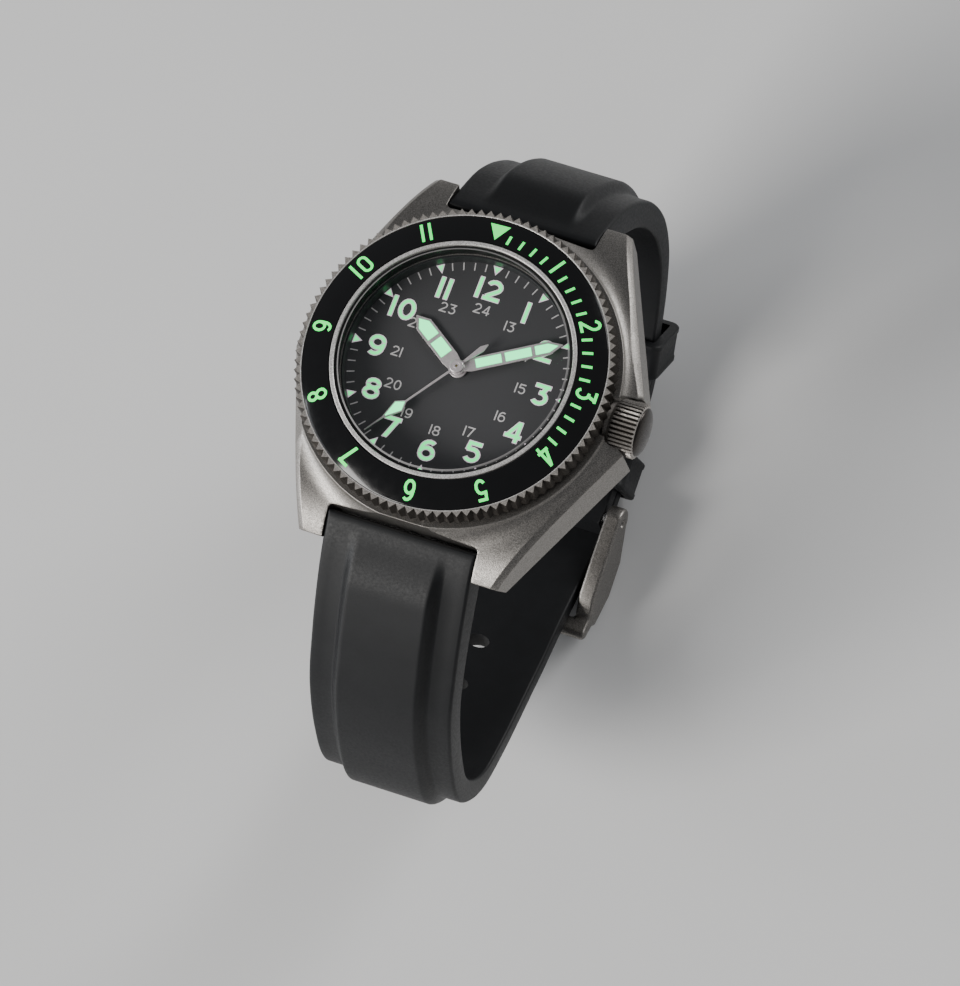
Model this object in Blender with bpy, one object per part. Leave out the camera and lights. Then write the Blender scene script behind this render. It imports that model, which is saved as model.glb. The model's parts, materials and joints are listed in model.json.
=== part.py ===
"""A mechanical dive watch on a rubber strap, buckled into a loop.

The frame is in metres: +Z out of the dial, +Y to 12 o'clock, +X to the crown. The origin is
the centre of the case back's outer face. Lengths below are in millimetres, and add() turns
them into metres.
"""

import math

import bmesh
import bpy
import numpy as np
from mathutils import Matrix, Vector

MM = 0.001
GAP = 0.05  # play between pieces that touch
FINE, MID, COARSE = 48, 36, 20  # steps round a large, a middling and a small turned piece
SMOOTH_ANGLE = math.radians(32)

# Case, seen from the front: the flanks are straight, and the side with the crown is wider.
LUG_WIDTH = 20.0
LUG_TIP_Y = 24.2
LUG_TIP_SLOPE = 0.3  # the ends of the lugs lean in towards the wrist, Y for each Z
LUG_FOOT_Y = 23.2
CASE_END_Y = 20.4
FLANKS = [(12.83, 25.4), (23.0, 3.9), (23.0, -3.9), (12.83, -25.4),
          (-12.75, -25.4), (-21.3, -2.6), (-21.3, 2.6), (-12.75, 25.4)]
FLANK_STATIONS = 6
CHAMFER = 0.65
CASE_BOTTOM, CASE_TOP, LUG_DROP = 2.0, 8.9, 3.2
ARCH_POWER = 6
CAVITY_R, LEDGE_R, LEDGE_Z = 14.95, 14.2, 11.6
COLLAR_R, COLLAR_Z = 20.6, 10.0
NECK_R, NECK_Z = 16.8, 12.0
SPRING_BAR_Y, SPRING_BAR_Z, SPRING_BAR_R, SPRING_TIP_R = 22.3, 3.9, 0.75, 0.4

# Bezel, crystal and dial.
BEZEL_TEETH = 102
BEZEL_TIP_R, BEZEL_ROOT_R = 20.2, 19.5
BEZEL_BOTTOM, BEZEL_TOP = 10.3, 13.1
INSERT_IN_R, INSERT_OUT_R, INSERT_SEAT = 15.6, 19.2, 12.4
INSERT_IN_Z, INSERT_OUT_Z = 14.2, 13.05
CRYSTAL_R, CRYSTAL_BOTTOM, CRYSTAL_TOP = 14.57, 12.1, 14.35
RIM_IN_R, RIM_OUT_R, RIM_TOP = 15.0, 15.45, 14.3
DIAL_BOTTOM, DIAL_TOP, DIAL_R = 9.8, 10.2, 14.8

# Hands: heights, lengths and the time they show, 10:10:36.
HOUR_HAND_Z, MINUTE_HAND_Z, SECONDS_HAND_Z, HAND_THICK = 10.45, 10.9, 11.35, 0.22
HOUR_ANGLE, MINUTE_ANGLE, SECONDS_ANGLE = 304.0, 60.0, 216.0  # clockwise from 12, degrees

# Crown and winding stem, along +X.
STEM_Z, STEM_R = 7.3, 0.45
CROWN_IN_X, CROWN_KNURL_X, CROWN_END_X, CROWN_R = 19.75, 23.9, 24.8, 3.55
CROWN_TEETH = 36
CROWN_NOTCH_X, CROWN_NOTCH_R = 19.5, 3.75  # a round-topped notch about the stem's axis

# Movement: pitch radii follow from the tooth counts and the centre distances.
PLATE_R, PLATE_BOTTOM, PLATE_TOP = 12.95, 7.0, 9.6
BRIDGE_BOTTOM, BRIDGE_TOP = 4.0, 5.15
CENTER_R, CENTER_TEETH, THIRD_PINION = 4.0, 64, 8
THIRD_TEETH, FOURTH_PINION = 60, 8
FOURTH_R, FOURTH_TEETH, ESCAPE_PINION, ESCAPE_TEETH = 4.05, 72, 6, 15
BARREL_R, BARREL_TEETH, CENTER_PINION = 5.4, 72, 12
CANNON_R, CANNON_TEETH, MINUTE_WHEEL_TEETH = 0.55, 12, 36
HOUR_WHEEL_R, HOUR_WHEEL_TEETH, MINUTE_PINION = 1.76, 40, 10
RATCHET_R, RATCHET_TEETH, CROWN_WHEEL_R, CROWN_WHEEL_TEETH = 4.0, 40, 3.2, 32
ROTOR_PINION_R, ROTOR_PINION, REDUCTION_R, REDUCTION_TEETH = 2.2, 22, 4.2, 42
CROWN_WHEEL_X = 9.0
BALANCE_R, BALANCE_AT = 3.4, (8.3, 205.0)  # rim radius, then distance and bearing

# Strap: the outer skin's side profile as (y, z), from the case to the loop's underside.
STRAP_6_LINE = [(-20.75, 7.9), (-24.7, 5.2), (-29.8, 0.4), (-34.0, -4.3), (-38.5, -10.5),
                (-42.0, -19.5), (-43.4, -28.8), (-39.9, -36.7), (-33.1, -41.0),
                (-21.3, -45.1), (-13.8, -46.95), (-6.0, -49.3), (1.0, -50.7)]
STRAP_12_LINE = [(20.75, 7.9), (24.5, 5.0), (28.6, 0.9), (32.0, -4.8), (34.6, -11.8),
                 (35.6, -19.8), (34.3, -27.2), (31.1, -33.3), (27.3, -38.2), (22.5, -42.8),
                 (15.5, -46.3), (8.0, -47.8), (2.2, -48.1), (0.4, -47.9)]
STRAP_SPACING = 4.2
TAIL_THICK, TAIL_RUNS = 2.4, (77.4, 52.4)  # the long strap's end lies on the short strap
STRAP_HALF_WIDTH, STRAP_HALF_WIDTH_BUCKLE = 9.9, 9.0
BAND_HALF_WIDTH, BAND_SHOULDER, BAND_RISE = 5.4, 1.2, 1.4
BAND_START, BAND_FADE, BAND_END_6, BAND_END_12 = (3.0, 8.0), 12.0, 64.0, 50.0
BUCKLE_BAR = (2.2, -46.3)
BUCKLE_HALF_OUT, BUCKLE_HALF_IN = 11.7, 9.5
KEEPER_WALL, KEEPER_LENGTH = 1.2, 5.0
FIXED_KEEPER_RUN, FREE_KEEPER_RUN = 74.6, 57.4  # along the short strap, from the case


def clear_scene():
    for obj in list(bpy.data.objects):
        bpy.data.objects.remove(obj)


def material(name, colour, roughness, metallic):
    made = bpy.data.materials.new(name)
    made.use_nodes = True
    shader = made.node_tree.nodes["Principled BSDF"]
    shader.inputs["Base Color"].default_value = (*colour, 1)
    shader.inputs["Roughness"].default_value = roughness
    shader.inputs["Metallic"].default_value = metallic
    made.diffuse_color = (*colour, 1)
    return made


def add(name, mesh_data, look=None, at=(0, 0, 0)):
    """Makes an object of a bmesh in millimetres, with its origin at the point given."""
    bmesh.ops.recalc_face_normals(mesh_data, faces=mesh_data.faces)
    shift = Matrix.Translation([-c for c in at])
    bmesh.ops.transform(mesh_data, matrix=Matrix.Scale(MM, 4) @ shift, verts=mesh_data.verts)
    mesh = bpy.data.meshes.new(name)
    mesh_data.to_mesh(mesh)
    mesh_data.free()
    mesh.shade_smooth()
    mesh.set_sharp_from_angle(angle=SMOOTH_ANGLE)
    obj = bpy.data.objects.new(name, mesh)
    obj.location = [c * MM for c in at]
    bpy.context.collection.objects.link(obj)
    if look:
        mesh.materials.append(look)
    else:
        obj.hide_render = True
        obj.display_type = "WIRE"
    return obj


def combine(obj, operation, *others):
    for other in others:
        modifier = obj.modifiers.new(f"{operation.lower()} {other.name}", "BOOLEAN")
        modifier.operation = operation
        modifier.object = other
    return obj


def cut(obj, *cutters):
    return combine(obj, "DIFFERENCE", *cutters)


def weld(obj, *pieces):
    return combine(obj, "UNION", *pieces)


def turned(profile, steps=MID):
    """A closed (radius, z) profile turned round Z."""
    made = bmesh.new()
    verts = [made.verts.new((r, 0, z)) for r, z in profile]
    edges = [made.edges.new((a, b)) for a, b in zip(verts, verts[1:] + verts[:1])]
    bmesh.ops.spin(made, geom=verts + edges, cent=(0, 0, 0), axis=(0, 0, 1),
                   angle=math.tau, steps=steps)
    bmesh.ops.remove_doubles(made, verts=made.verts, dist=1e-4)
    bmesh.ops.dissolve_degenerate(made, edges=made.edges, dist=1e-5)
    return made


def ring(r_in, r_out, z_low, z_high, steps=MID):
    return turned([(r_in, z_low), (r_out, z_low), (r_out, z_high), (r_in, z_high)], steps)


def disc(radius, z_low, z_high, steps=MID):
    return prism(circle(radius, steps), z_low, z_high)


def circle(radius, steps, at=(0, 0)):
    angles = np.arange(steps) * math.tau / steps
    return [(at[0] + radius * math.cos(a), at[1] + radius * math.sin(a)) for a in angles]


def arc(radius, start, end, steps, at=(0, 0)):
    angles = np.radians(np.linspace(start, end, steps))
    return [(at[0] + radius * math.cos(a), at[1] + radius * math.sin(a)) for a in angles]


def polar(radius, bearing):
    return radius * math.cos(math.radians(bearing)), radius * math.sin(math.radians(bearing))


def prism(outline, z_low, z_high):
    made = bmesh.new()
    face = made.faces.new([made.verts.new((x, y, z_low)) for x, y in outline])
    top = bmesh.ops.extrude_face_region(made, geom=[face])["geom"]
    bmesh.ops.translate(made, vec=(0, 0, z_high - z_low),
                        verts=[v for v in top if isinstance(v, bmesh.types.BMVert)])
    return made


def moved(made, *matrices):
    for matrix in matrices:
        bmesh.ops.transform(made, matrix=matrix, verts=made.verts)
    return made


def along_x(made, y=0.0, z=0.0):
    """Lays a piece that was made along Z along +X, through the given y and z."""
    return moved(made, Matrix.Rotation(math.pi / 2, 4, "Y"), Matrix.Translation((0, y, z)))


def side_prism(outline, half_width):
    """A (y, z) outline extruded across the watch, from -half_width to half_width in x."""
    axes = Matrix(((0, 0, 1, 0), (1, 0, 0, 0), (0, 1, 0, 0), (0, 0, 0, 1)))
    return moved(prism(outline, -half_width, half_width), axes)


def box(low, high):
    made = bmesh.new()
    centre = [(a + b) / 2 for a, b in zip(low, high)]
    size = [b - a for a, b in zip(low, high)]
    bmesh.ops.create_cube(made, size=1)
    return moved(made, Matrix.Diagonal((*size, 1)), Matrix.Translation(centre))


def toothed(teeth, root, tip, phase=0.0):
    """An outline of pointed teeth, with the first tip at the phase, in teeth."""
    points = []
    for index in range(2 * teeth):
        angle = (index / 2 + phase) * math.tau / teeth
        radius = root if index % 2 else tip
        points.append((radius * math.cos(angle), radius * math.sin(angle)))
    return points


def gear(teeth, pitch, z_low, z_high, at=(0, 0), tip_to=None, gap_to=None):
    """A thin wheel with a tooth's tip, or the gap between two, towards the centre it meshes."""
    depth = 0.9 * pitch / teeth
    mate = tip_to or gap_to or (at[0] + 1, at[1])
    bearing = math.atan2(mate[1] - at[1], mate[0] - at[0])
    phase = bearing * teeth / math.tau + (0.5 if gap_to else 0)
    outline = toothed(teeth, pitch - 1.3 * depth, pitch + depth, phase)
    return moved(prism(outline, z_low, z_high), Matrix.Translation((*at, 0)))


def spline(points, spacing):
    """Points about the given spacing apart on a smooth curve through the points given."""
    known = np.array([(2 * np.array(points[0]) - points[1]), *points,
                      (2 * np.array(points[-1]) - points[-2])])
    dense = []
    for a, b, c, d in zip(known, known[1:], known[2:], known[3:]):
        for t in np.linspace(0, 1, 20, endpoint=False):
            dense.append(0.5 * (2 * b + (c - a) * t + (2 * a - 5 * b + 4 * c - d) * t * t
                                + (3 * b - a - 3 * c + d) * t ** 3))
    dense = np.array([*dense, points[-1]])
    run = np.concatenate([[0], np.cumsum(np.linalg.norm(np.diff(dense, axis=0), axis=1))])
    stations = np.linspace(0, run[-1], round(run[-1] / spacing) + 1)
    line = np.array([np.interp(stations, run, dense[:, axis]) for axis in (0, 1)]).T
    return line, stations


def smoothstep(value, start, end):
    t = np.clip((value - start) / (end - start), 0, 1)
    return t * t * (3 - 2 * t)


# ---- case ----


def arch_height(y):
    return CASE_TOP - LUG_DROP * abs(y / LUG_TIP_Y) ** ARCH_POWER


def flank_outline():
    points = []
    for a, b in zip(FLANKS, FLANKS[1:] + FLANKS[:1]):
        across = abs(a[1] - b[1]) > 2 * CASE_END_Y - 1 or abs(a[0] - b[0]) < 1 or a[1] == b[1]
        count = 1 if across else FLANK_STATIONS
        for share in np.arange(count) / count:
            points.append(Vector(a).lerp(Vector(b), share))
    return points


def inset(points, distance):
    moved_in = []
    for before, here, after in zip(points[-1:] + points[:-1], points, points[1:] + points[:1]):
        first, second = (here - before).normalized(), (after - here).normalized()
        normals = [Vector((edge.y, -edge.x)) for edge in (first, second)]
        middle = (normals[0] + normals[1]).normalized()
        moved_in.append(here + middle * distance / middle.dot(normals[0]))
    return moved_in


def flank_body():
    """The case's outline as a solid, with the chamfer that follows the arched top."""
    outline = flank_outline()
    over, top = 0.3, NECK_Z + 0.5
    inner = inset(outline, CHAMFER + over)
    levels = [
        [(p.x, p.y, CASE_BOTTOM) for p in inset(outline, 0.4)],
        [(p.x, p.y, CASE_BOTTOM + 0.4) for p in outline],
        [(p.x, p.y, arch_height(p.y) - CHAMFER) for p in outline],
        [(q.x, q.y, arch_height(p.y) + over) for p, q in zip(outline, inner)],
        [(q.x, q.y, top) for q in inner],
    ]
    return loft(levels)


def loft(levels):
    """Joins rings of points with the same count, and closes the first and the last."""
    made = bmesh.new()
    rings = [[made.verts.new(p) for p in level] for level in levels]
    for low, high in zip(rings, rings[1:]):
        for a, b, c, d in zip(low, low[1:] + low[:1], high[1:] + high[:1], high):
            made.faces.new((a, b, c, d))
    made.faces.new(rings[0][::-1])
    made.faces.new(rings[-1])
    return made


def make_case(steel):
    arch = [(y, arch_height(y)) for y in np.linspace(-LUG_TIP_Y - 1, LUG_TIP_Y + 1, 27)]
    mould = add("cut_arch", side_prism([*arch, (26, 1), (-26, 1)], 30))
    collar = add("cut_collar", turned([
        (0, 3), (22.6, 3), (22.6, 8.6), (21.5, 8.95), (20.95, 9.3), (20.7, 9.65),
        (COLLAR_R, COLLAR_Z), (NECK_R, COLLAR_Z), (NECK_R, NECK_Z), (0, NECK_Z)], FINE))
    weld(mould, collar)
    case = add("mid_case", flank_body(), steel)
    combine(case, "INTERSECT", mould)
    cavity = add("cut_cavity", turned([
        (0, 0), (16.25, 0), (16.25, CASE_BOTTOM + 0.1), (CAVITY_R, CASE_BOTTOM + 0.1),
        (CAVITY_R, LEDGE_Z), (LEDGE_R, LEDGE_Z), (LEDGE_R, 15), (0, 15)], FINE))
    cutters = [cavity]
    tip_low, tip_high = (LUG_FOOT_Y + LUG_TIP_SLOPE * (z - CASE_BOTTOM) for z in (0, 15))
    for side in (-1, 1):
        low, high = sorted((side * CASE_END_Y, side * 30))
        cutters.append(add("cut_lugs", box((-LUG_WIDTH / 2, low, 0), (LUG_WIDTH / 2, high, 15))))
        beyond = [(side * y, z) for y, z in ((tip_low, 0), (30, 0), (30, 15), (tip_high, 15))]
        cutters.append(add("cut_tips", side_prism(beyond, 30)))
        hole = turned([(0, -11.3), (0.5, -11.3), (0.5, 11.3), (0, 11.3)], 12)
        cutters.append(add("cut_bar_hole", along_x(hole, side * SPRING_BAR_Y, SPRING_BAR_Z)))
    notch = [*arc(CROWN_NOTCH_R, 90, 270, 25), (STEM_Z, -CROWN_NOTCH_R), (STEM_Z, CROWN_NOTCH_R)]
    cutters.append(add("cut_crown_notch", along_x(prism(notch, CROWN_NOTCH_X, 26), 0, STEM_Z)))
    tube_hole = turned([(0, 13), (1.45, 13), (1.45, 21), (0, 21)], COARSE)
    cutters.append(add("cut_tube_hole", along_x(tube_hole, 0, STEM_Z)))
    return cut(case, *cutters)


def make_back(steel, black):
    plate_r, boss_r, bowl_r = 17.2, CAVITY_R - 0.1, 13.4
    back = add("case_back", turned([
        (0, 0), (plate_r - 0.5, 0), (plate_r, 0.5), (plate_r, 1.9), (16.15, 1.9),
        (16.15, 1.45), (15.3, 1.45), (15.3, 1.9), (boss_r, 1.9), (boss_r, 3.2),
        (bowl_r, 3.2), (bowl_r, 1.2), (0, 1.2)]), steel)
    notches = []
    for index in range(6):
        slot = moved(box((plate_r - 1.3, -1.1, -1), (plate_r + 1, 1.1, 0.9)),
                     Matrix.Rotation(index * math.tau / 6, 4, "Z"))
        notches.append(add("cut_back_notch", slot))
    cut(back, *notches)
    add("case_back_gasket", ring(15.4, 16.05, 1.5, 2.05), black)


def make_bezel(steel, ceramic, spring_steel):
    outline = toothed(BEZEL_TEETH, BEZEL_ROOT_R, BEZEL_TIP_R)
    bezel = add("bezel_ring", prism(outline, BEZEL_BOTTOM, BEZEL_TOP), steel)
    bore = INSERT_IN_R - GAP
    cut(bezel, add("cut_bezel", turned([
        (0, 9), (NECK_R + 0.15, 9), (NECK_R + 0.15, NECK_Z + 0.15), (bore, NECK_Z + 0.15),
        (bore, INSERT_SEAT), (INSERT_OUT_R + GAP, INSERT_SEAT), (INSERT_OUT_R + GAP, 15),
        (0, 15)], FINE)))
    add("bezel_insert", turned([
        (INSERT_IN_R, INSERT_SEAT + GAP), (INSERT_OUT_R, INSERT_SEAT + GAP),
        (INSERT_OUT_R, INSERT_OUT_Z), (INSERT_IN_R, INSERT_IN_Z)], FINE), ceramic)
    add("bezel_click_spring", ring(17.3, 18.6, COLLAR_Z + GAP, BEZEL_BOTTOM - GAP, COARSE),
        spring_steel)


def make_crystal(steel, glass, black, dark):
    edge = 0.25
    add("crystal", turned([
        (0, CRYSTAL_BOTTOM), (CRYSTAL_R, CRYSTAL_BOTTOM), (CRYSTAL_R, CRYSTAL_TOP - edge),
        (CRYSTAL_R - edge, CRYSTAL_TOP), (0, CRYSTAL_TOP)], FINE), glass)
    add("crystal_gasket", ring(14.65, 14.92, NECK_Z + GAP, 13.9), black)
    add("crystal_ring", ring(RIM_IN_R, RIM_OUT_R, NECK_Z + GAP, RIM_TOP, FINE), steel)
    add("chapter_ring", turned([
        (14.2, DIAL_TOP + GAP), (14.85, DIAL_TOP + GAP), (14.85, LEDGE_Z - GAP),
        (14.3, LEDGE_Z - GAP)]), dark)
    add("dial", ring(0.8, DIAL_R, DIAL_BOTTOM, DIAL_TOP), dark)


def make_crown(steel, black):
    """The crown, its tube in the case wall, and the gasket between them."""
    knurl = toothed(CROWN_TEETH, CROWN_R - 0.28, CROWN_R)
    grip = along_x(prism(knurl, CROWN_IN_X, CROWN_KNURL_X), 0, STEM_Z)
    crown = add("crown", grip, steel, (CROWN_IN_X, 0, STEM_Z))
    limit = add("cut_crown_taper", along_x(turned([
        (0, 18.7), (2.9, 18.7), (2.9, BEZEL_TIP_R + 0.1), (3.7, BEZEL_TIP_R + 0.8),
        (3.7, 27), (0, 27)], COARSE), 0, STEM_Z))
    combine(crown, "INTERSECT", limit)
    dome = [(3.15 * math.cos(a), CROWN_KNURL_X - 0.1 + (CROWN_END_X - CROWN_KNURL_X + 0.1)
             * math.sin(a)) for a in np.linspace(0, math.pi / 2, 6)]
    weld(crown, add("cut_crown_dome", along_x(
        turned([(0, CROWN_KNURL_X - 0.3), (3.15, CROWN_KNURL_X - 0.3), *dome], COARSE),
        0, STEM_Z)))
    bore = turned([(0, 19), (2.3, 19), (2.3, 22.4), (STEM_R + GAP, 22.4),
                   (STEM_R + GAP, 23.3), (0, 23.3)], COARSE)
    cut(crown, add("cut_crown_bore", along_x(bore, 0, STEM_Z)))
    tube = ring(STEM_R + 0.15, 1.4, 15.0, 21.8, COARSE)
    add("crown_tube", along_x(tube, 0, STEM_Z), steel)
    add("crown_gasket", along_x(ring(1.48, 2.22, 20.4, 21.2, COARSE), 0, STEM_Z), black,
        (20.4, 0, STEM_Z))


def make_stem(steel):
    """The winding stem with its two pinions."""
    axis = (0, 0, STEM_Z)
    stem = turned([(0, 8.3), (STEM_R, 8.3), (STEM_R, 23.2), (0, 23.2)], 12)
    add("winding_stem", along_x(stem, 0, STEM_Z), steel, axis)
    bore = add("cut_stem_bore", along_x(turned([
        (0, 8), (STEM_R + GAP, 8), (STEM_R + GAP, 14), (0, 14)], 12), 0, STEM_Z))
    for name, low, high, teeth in (("sliding_pinion", 9.1, 10.6, 10),
                                   ("winding_pinion", 10.7, 12.3, 12)):
        wheel = along_x(prism(toothed(teeth, 0.8, 1.0), low, high), 0, STEM_Z)
        cut(add(name, wheel, steel, axis), bore)


# ---- hands ----


def pointer(name, outline, height, bore, look):
    """A hand that points along +Y, with a boss round its bore."""
    hand = add(name, prism(outline, height, height + HAND_THICK), look)
    weld(hand, add(f"cut_{name}_boss", disc(bore + 0.45, height - 0.02, height + 0.27, 20)))
    return cut(hand, add(f"cut_{name}_bore", disc(bore, height - 1, height + 1, 14)))


def turn_hand(hand, angle):
    """Turns a hand clockwise from 12 o'clock, with its own Boolean pieces."""
    turn = Matrix.Rotation(-math.radians(angle), 4, "Z")
    hand.matrix_world = turn
    for modifier in hand.modifiers:
        modifier.object.matrix_world = turn


def make_hands(steel):
    def blade(length, width, tail, point):
        half = width / 2
        return [(-0.45, -tail), (0.45, -tail), (half, tail + 0.8), (half, length - point),
                (0, length), (-half, length - point), (-half, tail + 0.8)]

    turn_hand(pointer("hour_hand", blade(9.0, 2.2, 0.9, 1.5), HOUR_HAND_Z, 0.72, steel),
              HOUR_ANGLE)
    turn_hand(pointer("minute_hand", blade(13.4, 1.7, 0.9, 1.7), MINUTE_HAND_Z, 0.5, steel),
              MINUTE_ANGLE)
    needle = [(-0.5, -4.7), (0.5, -4.7), (0.25, -1.2), (0.14, 0), (0.13, 7.3), (0.85, 8.6),
              (0.1, 10.6), (0.08, 13.9), (-0.08, 13.9), (-0.1, 10.6), (-0.85, 8.6),
              (-0.13, 7.3), (-0.14, 0), (-0.25, -1.2)]
    turn_hand(pointer("seconds_hand", needle, SECONDS_HAND_Z, 0.17, steel), SECONDS_ANGLE)


# ---- movement ----


def centres():
    """Where the arbors stand, from the pitch radii that must touch."""
    third = polar(CENTER_R * (1 + THIRD_PINION / CENTER_TEETH), 250)
    escape = polar(FOURTH_R * (1 + ESCAPE_PINION / FOURTH_TEETH), 170)
    to_barrel = BARREL_R * (1 + CENTER_PINION / BARREL_TEETH)
    to_crown_wheel = RATCHET_R + CROWN_WHEEL_R
    x = (to_barrel ** 2 - to_crown_wheel ** 2 + CROWN_WHEEL_X ** 2) / (2 * CROWN_WHEEL_X)
    barrel = (x, math.sqrt(to_barrel ** 2 - x ** 2))
    reduction = polar(ROTOR_PINION_R + REDUCTION_R, 95.1)
    motion = (0.0, -CANNON_R * (1 + MINUTE_WHEEL_TEETH / CANNON_TEETH))
    return {"third": third, "escape": escape, "barrel": barrel, "reduction": reduction,
            "motion": motion, "balance": polar(*BALANCE_AT), "crown_wheel": (CROWN_WHEEL_X, 0)}


def arbor(name, radius, z_low, z_high, at, steps=10):
    return add(f"cut_{name}", moved(disc(radius, z_low, z_high, steps),
                                    Matrix.Translation((*at, 0))))


def make_train(at, brass, steel):
    """The wheels from the barrel to the escape wheel, each with its pinion and arbor."""
    hub = (0.0, 0.0)
    third_r = CENTER_R * (1 + THIRD_PINION / CENTER_TEETH) / (1 + FOURTH_PINION / THIRD_TEETH)
    centre = add("center_wheel", gear(CENTER_TEETH, CENTER_R, 6.05, 6.3, tip_to=at["third"]),
                 brass)
    pinion_r = BARREL_R * CENTER_PINION / BARREL_TEETH
    weld(centre, add("cut_center_pinion", gear(CENTER_PINION, pinion_r, 6.25, 8.2,
                                                gap_to=at["barrel"])),
         arbor("center_arbor", 0.28, 6.0, 9.0, (0, 0), 12))
    cut(centre, arbor("center_bore", 0.19, 5.9, 9.1, (0, 0), 12))

    third = add("third_wheel", gear(THIRD_TEETH, third_r, 5.35, 5.6, at["third"],
                                    tip_to=hub), brass, (*at["third"], 5.35))
    small_r = CENTER_R * THIRD_PINION / CENTER_TEETH
    weld(third, add("cut_third_pinion", gear(THIRD_PINION, small_r, 5.98, 6.4, at["third"],
                                              gap_to=hub)),
         arbor("third_arbor", 0.15, 5.22, 6.95, at["third"]))

    fourth = add("fourth_wheel", gear(FOURTH_TEETH, FOURTH_R, 5.72, 5.92,
                                      tip_to=at["escape"]), brass)
    pinion_r = third_r * FOURTH_PINION / THIRD_TEETH
    weld(fourth, add("cut_fourth_pinion", gear(FOURTH_PINION, pinion_r, 5.3, 5.75,
                                                gap_to=at["third"])),
         arbor("fourth_arbor", 0.13, 5.22, SECONDS_HAND_Z + 0.35, (0, 0)))

    hooks = []
    for index in range(ESCAPE_TEETH):
        start = index * math.tau / ESCAPE_TEETH
        for radius, share in ((1.35, 0.0), (1.9, 0.28), (1.9, 0.4), (1.35, 0.45)):
            angle = start + share * math.tau / ESCAPE_TEETH
            hooks.append((radius * math.cos(angle), radius * math.sin(angle)))
    wheel = moved(prism(hooks, 6.75, 6.9), Matrix.Translation((*at["escape"], 0)))
    escape = add("escape_wheel", wheel, steel, (*at["escape"], 6.75))
    small_r = FOURTH_R * ESCAPE_PINION / FOURTH_TEETH
    weld(escape,
         add("cut_escape_pinion", gear(ESCAPE_PINION, small_r, 5.65, 5.98, at["escape"],
                                        gap_to=hub)),
         arbor("escape_arbor", 0.12, 5.22, 6.95, at["escape"]))


def spiral(start_r, end_r, turns, width, z_low, z_high, at, steps_per_turn=12):
    """A flat spring: a band of the given width wound outwards."""
    made = bmesh.new()
    sections = []
    count = int(turns * steps_per_turn)
    for index in range(count + 1):
        angle = index * math.tau / steps_per_turn
        middle = start_r + (end_r - start_r) * index / count
        section = []
        for radius, z in ((middle, z_low), (middle + width, z_low), (middle + width, z_high),
                          (middle, z_high)):
            section.append((at[0] + radius * math.cos(angle), at[1] + radius * math.sin(angle), z))
        sections.append([made.verts.new(p) for p in section])
    for here, there in zip(sections, sections[1:]):
        for k in range(4):
            made.faces.new((here[k], here[(k + 1) % 4], there[(k + 1) % 4], there[k]))
    made.faces.new(sections[0][::-1])
    made.faces.new(sections[-1])
    return made


def make_barrel(at, brass, steel):
    """The going barrel with its spring, and the arbor and wheels that wind it."""
    here, away = at["barrel"], at["crown_wheel"]
    origin = (*here, 6.4)
    barrel = add("mainspring_barrel", gear(BARREL_TEETH, BARREL_R, 7.4, 7.8, here,
                                          tip_to=(0.0, 0.0)), brass, origin)
    place = Matrix.Translation((*here, 0))
    weld(barrel, add("cut_drum", moved(disc(5.0, 6.4, 8.15, 32), place)))
    cut(barrel, add("cut_drum_inside", moved(ring(0.94, 4.7, 6.0, 7.95, 28), place)),
        add("cut_drum_bore", moved(disc(0.96, 6.0, 9.0, 16), place)))
    add("mainspring", spiral(1.05, 4.4, 4, 0.25, 6.45, 7.9, here), steel, origin)
    ratchet = add("ratchet_wheel", gear(RATCHET_TEETH, RATCHET_R, 5.25, 5.6, here,
                                       gap_to=away), steel, (*here, 5.25))
    weld(ratchet, arbor("ratchet_arbor", 0.88, 5.2, 8.1, here, 16))

    crown_wheel = gear(CROWN_WHEEL_TEETH, CROWN_WHEEL_R, 5.25, 6.2, away, tip_to=here)
    add("crown_wheel", crown_wheel, steel, (*away, 5.25))
    click = [(0.35, -0.45), (0.35, 0.45), (-0.3, 0.5), (-1.75, 0.1), (-1.7, -0.15),
             (-0.3, -0.4)]
    pivot = polar(11.5, 60)
    add("click", moved(prism(click, 5.25, 5.6), Matrix.Rotation(math.radians(35), 4, "Z"),
                       Matrix.Translation((*pivot, 0))), steel, (*pivot, 5.25))


def make_motion_works(at, brass, steel):
    """Cannon pinion, minute wheel and hour wheel, under the dial."""
    place, hub = at["motion"], (0.0, 0.0)
    cannon = add("cannon_pinion", gear(CANNON_TEETH, CANNON_R, 8.75, 9.1, tip_to=place), steel)
    weld(cannon, arbor("cannon_tube", 0.46, 8.9, MINUTE_HAND_Z + 0.35, (0, 0), 14))
    cut(cannon, arbor("cannon_bore", 0.33, 8, 12, (0, 0), 14))
    wheel_r = CANNON_R * MINUTE_WHEEL_TEETH / CANNON_TEETH
    minute = add("minute_wheel", gear(MINUTE_WHEEL_TEETH, wheel_r, 8.8, 9.05, place,
                                      gap_to=hub), brass, (*place, 8.8))
    pinion_r = HOUR_WHEEL_R * MINUTE_PINION / HOUR_WHEEL_TEETH
    weld(minute, add("cut_minute_pinion", gear(MINUTE_PINION, pinion_r, 9.0, 9.45, place,
                                                tip_to=hub)))
    hour = add("hour_wheel", gear(HOUR_WHEEL_TEETH, HOUR_WHEEL_R, 9.15, 9.4, gap_to=place),
               brass)
    weld(hour, arbor("hour_tube", 0.69, 9.2, HOUR_HAND_Z + 0.27, (0, 0), 16))
    cut(hour, arbor("hour_bore", 0.53, 8, 12, (0, 0), 16))


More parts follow.
